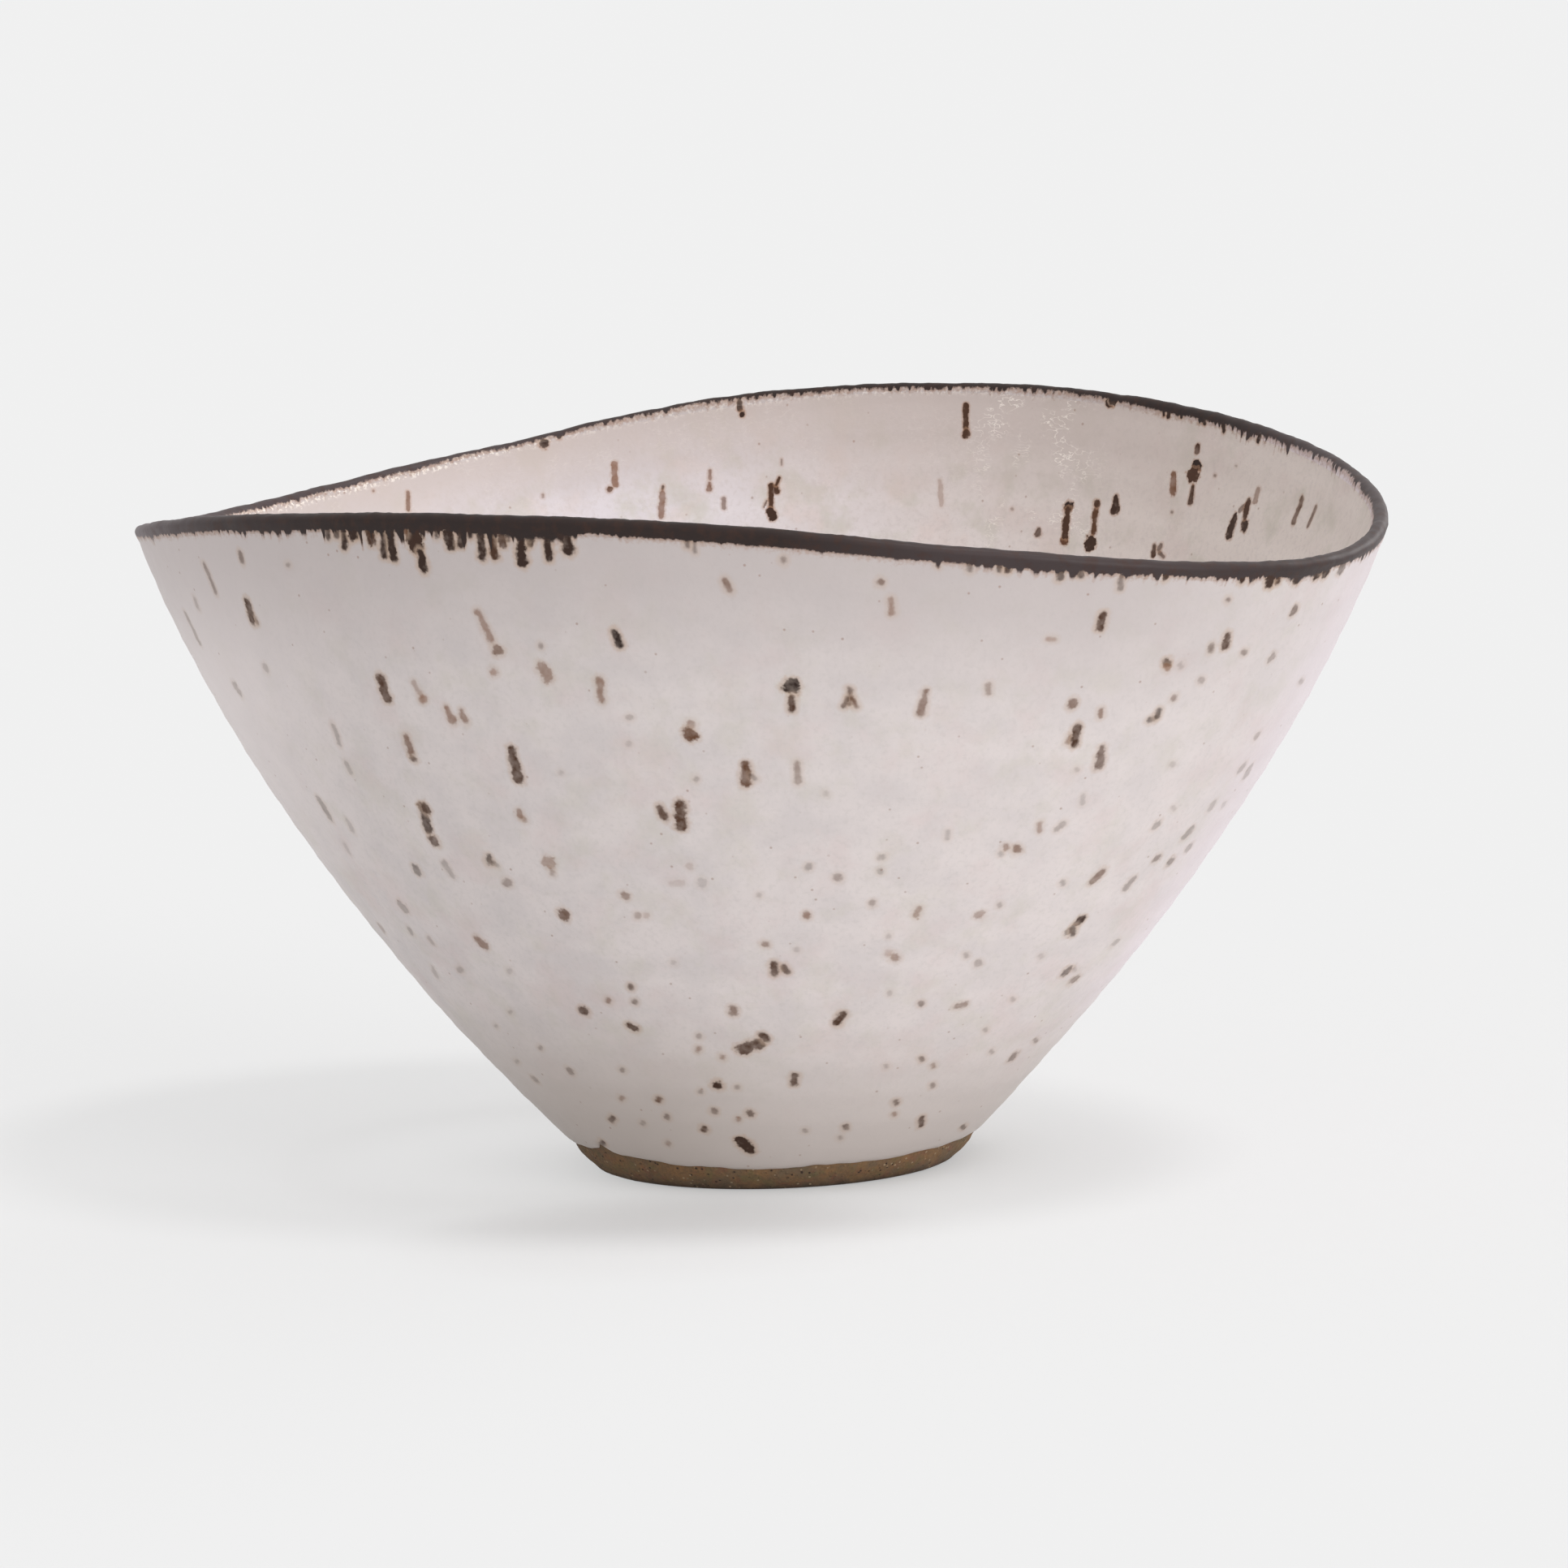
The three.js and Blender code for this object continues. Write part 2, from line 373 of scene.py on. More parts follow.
# The lip's own rise and fall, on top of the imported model's rim, in millimetres
LIP_LIFT = (
    (0, -0.6), (8, -0.2), (20, 0.1), (37, 0.3), (50, 0.1), (70, 0.1), (80, 0.0), (93, -0.3),
    (111, -0.3), (118, 0.1), (128, 0.0), (134, -0.2), (144, -0.7), (148, -0.5), (153, -0.1),
    (185, -0.1), (197, -0.45), (211, -0.45), (226, -0.1), (247, -0.2), (258, -0.1), (268, -0.3),
    (280, -0.3), (297, -0.2), (314, -0.5), (325, -0.3), (341, -0.3), (354, -0.6),
)

# Where the glaze stops above the foot: how far up the slope from its line, in millimetres
GLAZE_STOPS = (
    (0, 0.1), (20, 0.2), (40, 0.4), (60, 0.1), (100, -0.2), (150, 0.3), (200, 0.1), (213, -0.1),
    (229, 0.5), (237, 0.8), (242, 1.6), (244, 2.9), (246, 2.0), (248, 1.2), (251, 0.8), (255, 0.6),
    (262, 0.3), (267, -0.2), (282, -0.5), (298, -0.8), (330, -0.7), (345, -0.6), (352, -0.3),
)


def stops_at(stops, angle):
    """A value that runs round the bowl through its stops."""
    degrees = [stop[0] for stop in stops]
    values = [stop[1] for stop in stops]
    return np.interp(np.degrees(angle), degrees, values, period=360)


def band_facts(angle, inside):
    edge = stops_at(INSIDE_EDGE if inside else OUTSIDE_EDGE, angle)
    teeth = stops_at(INSIDE_TEETH if inside else OUTSIDE_TEETH, angle)
    return np.stack([edge, teeth, stops_at(BAND_PALENESS, angle)], -1)


# The share of the slope at which the outer coat's clay side ends, and how much further below the rim the
# middle of the floor counts than the edge of the well
HIDDEN_LAST = 0.002
WELL_BELOW = 40.0


# Each coat's builder below returns rings of points, and for each point its rim address and band facts


def below_rim(share):
    return (1 - share) * WALL_SLANT


def outer_coat():
    own, share = outer_coat_rows()
    hidden = np.linspace(share_below_rim(BAND_OUTSIDE), HIDDEN_LAST, HIDDEN_ROWS)[:, None]
    behind = hidden + glaze_edge(ANGLES) / WALL_SLANT * (1 - hidden / hidden[0])
    shares = np.concatenate([share, behind])
    angle = np.broadcast_to(ANGLES, shares.shape)
    rings = np.concatenate([own, in_wall(behind, angle[:HIDDEN_ROWS], GLAZE)])
    return rings, rim_address(angle, below_rim(shares)), band_facts(angle, False)


def rim_rows(inset, straight):
    """The band's surface from its outer edge, over the lip, to its inner edge."""
    lip_share = share_below_rim(LIP_RADIUS)
    climbs = np.linspace(share_below_rim(BAND_OUTSIDE), lip_share, straight)
    turns = np.linspace(0, math.pi, LIP_ROWS)[1:-1]
    drops = np.linspace(lip_share, share_below_rim(LIP_RADIUS + BAND_INSIDE), max(2, straight // 2))
    up = rows(climbs, lambda grid, angle: in_wall(grid, angle, inset))
    over = rows(turns, lambda grid, angle: lip_point(grid, angle, LIP_RADIUS - inset))
    down = rows(drops, lambda grid, angle: in_wall(grid, angle, wall_at(grid) - inset))
    around_lip = LIP_RADIUS * np.abs(1 - turns / (math.pi / 2))
    below = np.concatenate([below_rim(climbs), around_lip, below_rim(drops)])
    inner = np.concatenate([np.zeros(len(climbs)), turns > math.pi / 2, np.ones(len(drops))])
    crest = np.clip((BAND_OUTSIDE - below) / BAND_OUTSIDE, 0, 1)
    crest = np.where(inner > 0, np.clip((LIP_RADIUS + BAND_INSIDE - below) / BAND_INSIDE, 0, 1), crest)
    rings = np.concatenate([up, over, down])
    rings[..., 2] += crest[:, None] * stops_at(LIP_LIFT, ANGLES)
    return rings, below, inner, crest


def rim_coat():
    own, below, inner, crest = rim_rows(0.0, BAND_ROWS)
    clay = rim_rows(GLAZE, BAND_ROWS)[0]
    outward = (own - clay) / GLAZE
    crest = np.sqrt(crest)[:, None]
    own = own + outward * (lumpy(own, BAND_BUMPS) * crest)[..., None]
    own[..., 2] += lumpy(rim_point(ANGLES), LIP_WAVER)[None, :] * crest ** 2
    angle = np.broadcast_to(ANGLES, own.shape[:2])
    address = rim_address(angle, np.repeat(below[:, None], AROUND, 1))
    facts = np.where(inner[:, None, None] > 0, band_facts(angle, True), band_facts(angle, False))
    rings = np.concatenate([own, clay[::-1]])
    return rings, np.concatenate([address, address[::-1]]), np.concatenate([facts, facts[::-1]])


def inner_rows(inset, wall_rows, well_rows):
    shares = np.linspace(share_below_rim(LIP_RADIUS + BAND_INSIDE), WELL_START, wall_rows)
    parts = np.linspace(0, 1, well_rows + 1)[1:-1]
    wall = rows(shares, lambda grid, angle: in_wall(grid, angle, wall_at(grid) - inset))
    well = rows(parts, lambda grid, angle: well_point(grid, angle, inset))
    below = np.concatenate([below_rim(shares), below_rim(WELL_START) + WELL_BELOW * parts])
    return np.concatenate([wall, well]), below


def inner_coat():
    own, below = inner_rows(0.0, WALL_ROWS, WELL_ROWS)
    back, back_below = inner_rows(GLAZE, HIDDEN_ROWS, WELL_ROWS // 3)
    rings = np.concatenate([back[::-1], own])
    depth = np.concatenate([back_below[::-1], below])
    angle = np.broadcast_to(ANGLES, rings.shape[:2])
    return rings, rim_address(angle, np.repeat(depth[:, None], AROUND, 1)), band_facts(angle, True)


def foot_profile(ring_inside):
    """The bare foot as (radius, height): recess, ring, rounded edge and the slope up to under the glaze."""
    recess_rim = ring_inside - RECESS_LEAN
    line = in_wall(np.zeros(1), np.zeros(1), GLAZE)[0]
    line_radius = math.hypot(line[0], line[1])
    slope = unit(np.array([line_radius - BASE_RADIUS, line[2]]))
    profile = []
    for radius in np.linspace(RECESS_MIDDLE, recess_rim - RECESS_CORNER, RECESS_ROWS):
        turning = TURNING_HEIGHT * math.sin(2 * math.pi * radius / TURNING_SPACING)
        dome = RECESS_DOME * (1 - (radius / recess_rim) ** 2)
        profile.append((radius, RECESS_DEPTH + dome + turning))
    for part in np.linspace(0, 1, RECESS_WALL_ROWS):
        profile.append((recess_rim + part * RECESS_LEAN, RECESS_DEPTH * (1 - part)))
    for radius in np.linspace(ring_inside + RING_CORNER, BASE_RADIUS - BASE_EDGE_ROUND, FOOT_RING_ROWS):
        profile.append((radius, 0.0))
    start = np.array([BASE_RADIUS - BASE_EDGE_ROUND, 0.0])
    corner = np.array([BASE_RADIUS, 0.0])
    end = corner + slope * BASE_EDGE_ROUND
    for part in np.linspace(0, 1, FOOT_EDGE_ROWS)[1:]:
        profile.append(start * (1 - part) ** 2 + 2 * corner * part * (1 - part) + end * part ** 2)
    reach = math.hypot(line_radius - end[0], line[2] - end[1])
    facing = np.array([slope[1], -slope[0]])
    for climb in np.linspace(0, reach, FOOT_SLOPE_ROWS)[1:-1]:
        fullness = FOOT_FULLNESS * math.sin(math.pi * climb / reach)
        profile.append(end + slope * climb + facing * fullness)
    return np.array(profile)


def foot_rows():
    """The bare foot with its grit, which also lifts the underside a little off the ground."""
    ring_inside = BASE_RADIUS - FOOT_RING_WIDTH
    profile = foot_profile(ring_inside)
    radius = profile[:, :1]
    height = profile[:, 1:]
    angle = np.broadcast_to(ANGLES, (len(profile), AROUND))
    rings = around(radius, height, angle)
    outward = around(np.ones_like(angle), 0.0, angle)
    grit = lumpy(rings, FOOT_GRIT)
    held = (radius > ring_inside - GRIT_INSIDE_RING) & (height > GRIT_ABOVE)
    rings = rings + outward * (grit * held)[..., None]
    full_grit = sum(layer.height for layer in FOOT_GRIT)
    lift = UNDERSIDE_LIFT + UNDERSIDE_ROUGHNESS * grit / full_grit
    rings[..., 2] += np.where(radius <= BASE_RADIUS - BASE_EDGE_ROUND, lift, 0.0)
    return rings


def clay_body():
    """The clay alone: its foot, and under the coats the wall, the lip and the inside."""
    foot = foot_rows()
    shares = np.linspace(0, share_below_rim(BAND_OUTSIDE), CLAY_WALL_ROWS)[:-1]
    wall = rows(shares, lambda grid, angle: in_wall(grid, angle, GLAZE))
    lip = rim_rows(GLAZE, CLAY_BAND_ROWS)[0]
    inside = inner_rows(GLAZE, CLAY_INSIDE_ROWS, CLAY_WELL_ROWS)[0][1:]
    return np.concatenate([foot, wall, lip, inside])


# Specks that the photograph shows. Each was read off it: the pixel where it starts, the pixel where
# it ends, its width in millimetres, how dark it is, how tan it is, and how much it widens to its end.
Speck = namedtuple("Speck", "x y to_x to_y wide dark tan head")


def streak(x, y, to_x, to_y, wide, dark=0.8, tan=0.2, head=0.0):
    return Speck(x, y, to_x, to_y, wide, dark, tan, head)


def drip(x, y, to_x, to_y, wide, dark, tan=0.05, head=0.0):
    return Speck(x, y, to_x, to_y, wide, dark, tan, head)


def dot(x, y, wide, dark, tan=0.2):
    return Speck(x, y, x, y, wide, dark, tan, 0.0)


# Where the dark band has run down in thin drips
DRIPS = (
    drip(x=404, y=649, to_x=404, to_y=665, wide=0.9, dark=0.8),
    drip(x=415, y=649, to_x=415, to_y=664, wide=1.0, dark=0.8),
    drip(x=422, y=650, to_x=425, to_y=678, wide=1.1, dark=1.0),
    drip(x=434, y=648, to_x=435, to_y=666, wide=1.5, dark=1.1),
    drip(x=440, y=650, to_x=439, to_y=665, wide=0.9, dark=1.0),
    drip(x=455, y=650, to_x=459, to_y=673, wide=1.4, dark=0.95, tan=0.2),
    drip(x=471, y=649, to_x=474, to_y=690, wide=1.1, dark=1.0),
    drip(x=480, y=650, to_x=486, to_y=692, wide=1.2, dark=1.1),
    drip(x=464, y=649, to_x=465, to_y=659, wide=0.8, dark=0.9),
    drip(x=507, y=646, to_x=514, to_y=684, wide=2.4, dark=1.15, tan=0.1),
    drip(x=517, y=676, to_x=523, to_y=704, wide=1.3, dark=1.1, head=0.2),
    drip(x=499, y=650, to_x=500, to_y=660, wide=0.8, dark=0.7, tan=0.5),
    drip(x=538, y=650, to_x=538, to_y=664, wide=0.9, dark=0.8),
    drip(x=549, y=650, to_x=557, to_y=677, wide=1.7, dark=1.0),
    drip(x=567, y=652, to_x=567, to_y=675, wide=1.0, dark=0.95),
    drip(x=579, y=654, to_x=579, to_y=664, wide=1.0, dark=0.85),
    drip(x=591, y=655, to_x=595, to_y=691, wide=1.2, dark=1.0),
    drip(x=604, y=655, to_x=611, to_y=690, wide=1.3, dark=1.0, tan=0.2),
    drip(x=617, y=656, to_x=619, to_y=675, wide=1.3, dark=0.85, tan=0.2),
    drip(x=626, y=658, to_x=625, to_y=669, wide=1.0, dark=0.85),
    drip(x=641, y=655, to_x=644, to_y=699, wide=1.6, dark=1.1, head=0.1),
    drip(x=655, y=656, to_x=650, to_y=674, wide=1.3, dark=1.0),
    drip(x=673, y=656, to_x=677, to_y=692, wide=1.2, dark=1.1),
    drip(x=695, y=652, to_x=701, to_y=682, wide=1.6, dark=1.0, head=0.3),
    drip(x=847, y=662, to_x=847, to_y=676, wide=0.8, dark=0.7),
    drip(x=1231, y=692, to_x=1231, to_y=706, wide=0.9, dark=0.7),
    drip(x=1306, y=700, to_x=1306, to_y=716, wide=1.2, dark=0.8),
    drip(x=1332, y=700, to_x=1332, to_y=713, wide=1.0, dark=0.75),
    drip(x=1543, y=708, to_x=1542, to_y=718, wide=0.9, dark=0.75),
    drip(x=1565, y=706, to_x=1564, to_y=724, wide=1.4, dark=1.1, tan=0.1),
    drip(x=1574, y=706, to_x=1574, to_y=720, wide=1.1, dark=1.0, tan=0.2),
    drip(x=1599, y=706, to_x=1598, to_y=720, wide=1.2, dark=1.0, tan=0.1),
    drip(x=1531, y=706, to_x=1531, to_y=719, wide=1.1, dark=1.0, tan=0.1),
    drip(x=1436, y=702, to_x=1436, to_y=715, wide=1.0, dark=0.95, tan=0.1),
    drip(x=1242, y=692, to_x=1242, to_y=706, wide=1.0, dark=0.9, tan=0.1),
    drip(x=1625, y=700, to_x=1624, to_y=713, wide=1.3, dark=1.0, tan=0.1),
    drip(x=1634, y=698, to_x=1633, to_y=712, wide=1.1, dark=1.0, tan=0.1),
    drip(x=1654, y=692, to_x=1652, to_y=707, wide=1.0, dark=0.65),
    drip(x=1433, y=500, to_x=1434, to_y=514, wide=0.6, dark=1.0),
    drip(x=1440, y=502, to_x=1440, to_y=516, wide=0.7, dark=1.0),
    drip(x=1455, y=505, to_x=1456, to_y=516, wide=0.5, dark=1.0),
    drip(x=1483, y=514, to_x=1485, to_y=524, wide=0.6, dark=1.0),
    drip(x=856, y=660, to_x=856, to_y=682, wide=0.6, dark=0.5),
    drip(x=1156, y=684, to_x=1156, to_y=700, wide=0.7, dark=0.6),
    drip(x=1195, y=688, to_x=1195, to_y=706, wide=0.8, dark=0.6),
    drip(x=1382, y=706, to_x=1380, to_y=728, wide=0.9, dark=0.6),
    drip(x=1366, y=490, to_x=1370, to_y=501, wide=1.5, dark=1.0),
    drip(x=1374, y=489, to_x=1372, to_y=496, wide=1.4, dark=1.0),
    drip(x=1508, y=515, to_x=1508, to_y=534, wide=0.7, dark=1.0),
    drip(x=1554, y=533, to_x=1549, to_y=546, wide=0.6, dark=1.0),
    drip(x=670, y=541, to_x=670, to_y=552, wide=1.7, dark=0.85),
    drip(x=690, y=534, to_x=689, to_y=541, wide=0.8, dark=0.9),
    drip(x=911, y=490, to_x=912, to_y=508, wide=1.0, dark=0.85),
    drip(x=914, y=507, to_x=914, to_y=514, wide=1.0, dark=0.95),
)

UPPER_SPECKS = (
    streak(x=250, y=692, to_x=267, to_y=733, wide=0.5, dark=0.5),
    streak(x=295, y=678, to_x=299, to_y=695, wide=0.7, dark=0.6),
    streak(x=304, y=737, to_x=312, to_y=770, wide=0.9, dark=0.85),
    streak(x=307, y=752, to_x=318, to_y=769, wide=0.6, dark=0.6),
    streak(x=239, y=735, to_x=246, to_y=753, wide=0.5, dark=0.3),
    streak(x=227, y=753, to_x=248, to_y=796, wide=0.5, dark=0.35),
    streak(x=324, y=817, to_x=330, to_y=830, wide=0.7, dark=0.25),
    streak(x=287, y=839, to_x=298, to_y=858, wide=0.6, dark=0.3),
    dot(x=355, y=696, wide=0.7, dark=0.35),
    streak(x=467, y=830, to_x=479, to_y=866, wide=1.3, dark=0.85, tan=0.25),
    streak(x=508, y=838, to_x=522, to_y=862, wide=0.7, dark=0.35, tan=0.8),
    dot(x=521, y=861, wide=1.3, dark=0.5, tan=0.9),
    streak(x=548, y=868, to_x=559, to_y=891, wide=1.0, dark=0.55, tan=0.75, head=0.3),
    streak(x=567, y=872, to_x=574, to_y=891, wide=0.9, dark=0.55, tan=0.7, head=0.2),
    streak(x=587, y=751, to_x=607, to_y=792, wide=1.0, dark=0.5, tan=0.75),
    streak(x=611, y=797, to_x=614, to_y=806, wide=1.5, dark=0.65, tan=0.5),
    dot(x=608, y=828, wide=1.4, dark=0.4, tan=0.95),
    dot(x=666, y=796, wide=0.9, dark=0.4),
    streak(x=664, y=817, to_x=679, to_y=840, wide=1.7, dark=0.5, tan=0.7),
    streak(x=755, y=775, to_x=765, to_y=799, wide=1.2, dark=1.0, tan=0.0),
    streak(x=738, y=835, to_x=742, to_y=869, wide=1.1, dark=0.55, tan=0.7, head=-0.3),
    streak(x=891, y=712, to_x=901, to_y=731, wide=1.0, dark=0.6, tan=0.5),
    dot(x=965, y=690, wide=1.1, dark=0.55),
    dot(x=1085, y=717, wide=1.2, dark=0.55, tan=0.4),
    streak(x=1097, y=735, to_x=1099, to_y=759, wide=1.0, dark=0.5, tan=0.75),
    streak(x=968, y=840, to_x=980, to_y=851, wide=2.5, dark=0.94, tan=0.0),
    streak(x=975, y=856, to_x=976, to_y=878, wide=1.2, dark=0.9),
    streak(x=1047, y=846, to_x=1047, to_y=870, wide=0.9, dark=0.8),
    streak(x=1046, y=858, to_x=1038, to_y=873, wide=0.8, dark=0.7),
    streak(x=1048, y=858, to_x=1057, to_y=873, wide=0.8, dark=0.7, tan=0.4),
    streak(x=1142, y=848, to_x=1134, to_y=881, wide=1.1, dark=0.6, tan=0.5, head=0.3),
    streak(x=1218, y=841, to_x=1218, to_y=857, wide=1.0, dark=0.4, tan=0.5),
    streak(x=1360, y=754, to_x=1354, to_y=778, wide=1.3, dark=0.9),
    streak(x=1288, y=787, to_x=1302, to_y=788, wide=0.7, dark=0.35, tan=0.9),
    streak(x=1513, y=779, to_x=1509, to_y=801, wide=1.1, dark=0.85),
    streak(x=1494, y=792, to_x=1491, to_y=805, wide=0.9, dark=0.55),
    dot(x=1533, y=804, wide=0.9, dark=0.45),
    streak(x=1598, y=745, to_x=1591, to_y=759, wide=0.8, dark=0.65),
    dot(x=1513, y=739, wide=0.8, dark=0.55),
    dot(x=1438, y=816, wide=1.4, dark=0.85, tan=0.1),
    dot(x=1438, y=822, wide=1.2, dark=0.5, tan=0.8),
    dot(x=1455, y=820, wide=1.1, dark=0.25),
    dot(x=1480, y=838, wide=1.1, dark=0.35),
    streak(x=1449, y=856, to_x=1444, to_y=864, wide=0.8, dark=0.45, tan=0.4),
    streak(x=1429, y=872, to_x=1425, to_y=887, wide=0.9, dark=0.7, tan=0.0),
    streak(x=1426, y=885, to_x=1413, to_y=888, wide=0.9, dark=0.7, tan=0.0),
    streak(x=1569, y=806, to_x=1565, to_y=814, wide=0.9, dark=0.4),
    dot(x=1603, y=840, wide=0.9, dark=0.3),
    streak(x=1324, y=860, to_x=1320, to_y=874, wide=1.3, dark=0.65, tan=0.45),
    streak(x=1357, y=872, to_x=1356, to_y=886, wide=0.8, dark=0.55, tan=0.6),
)

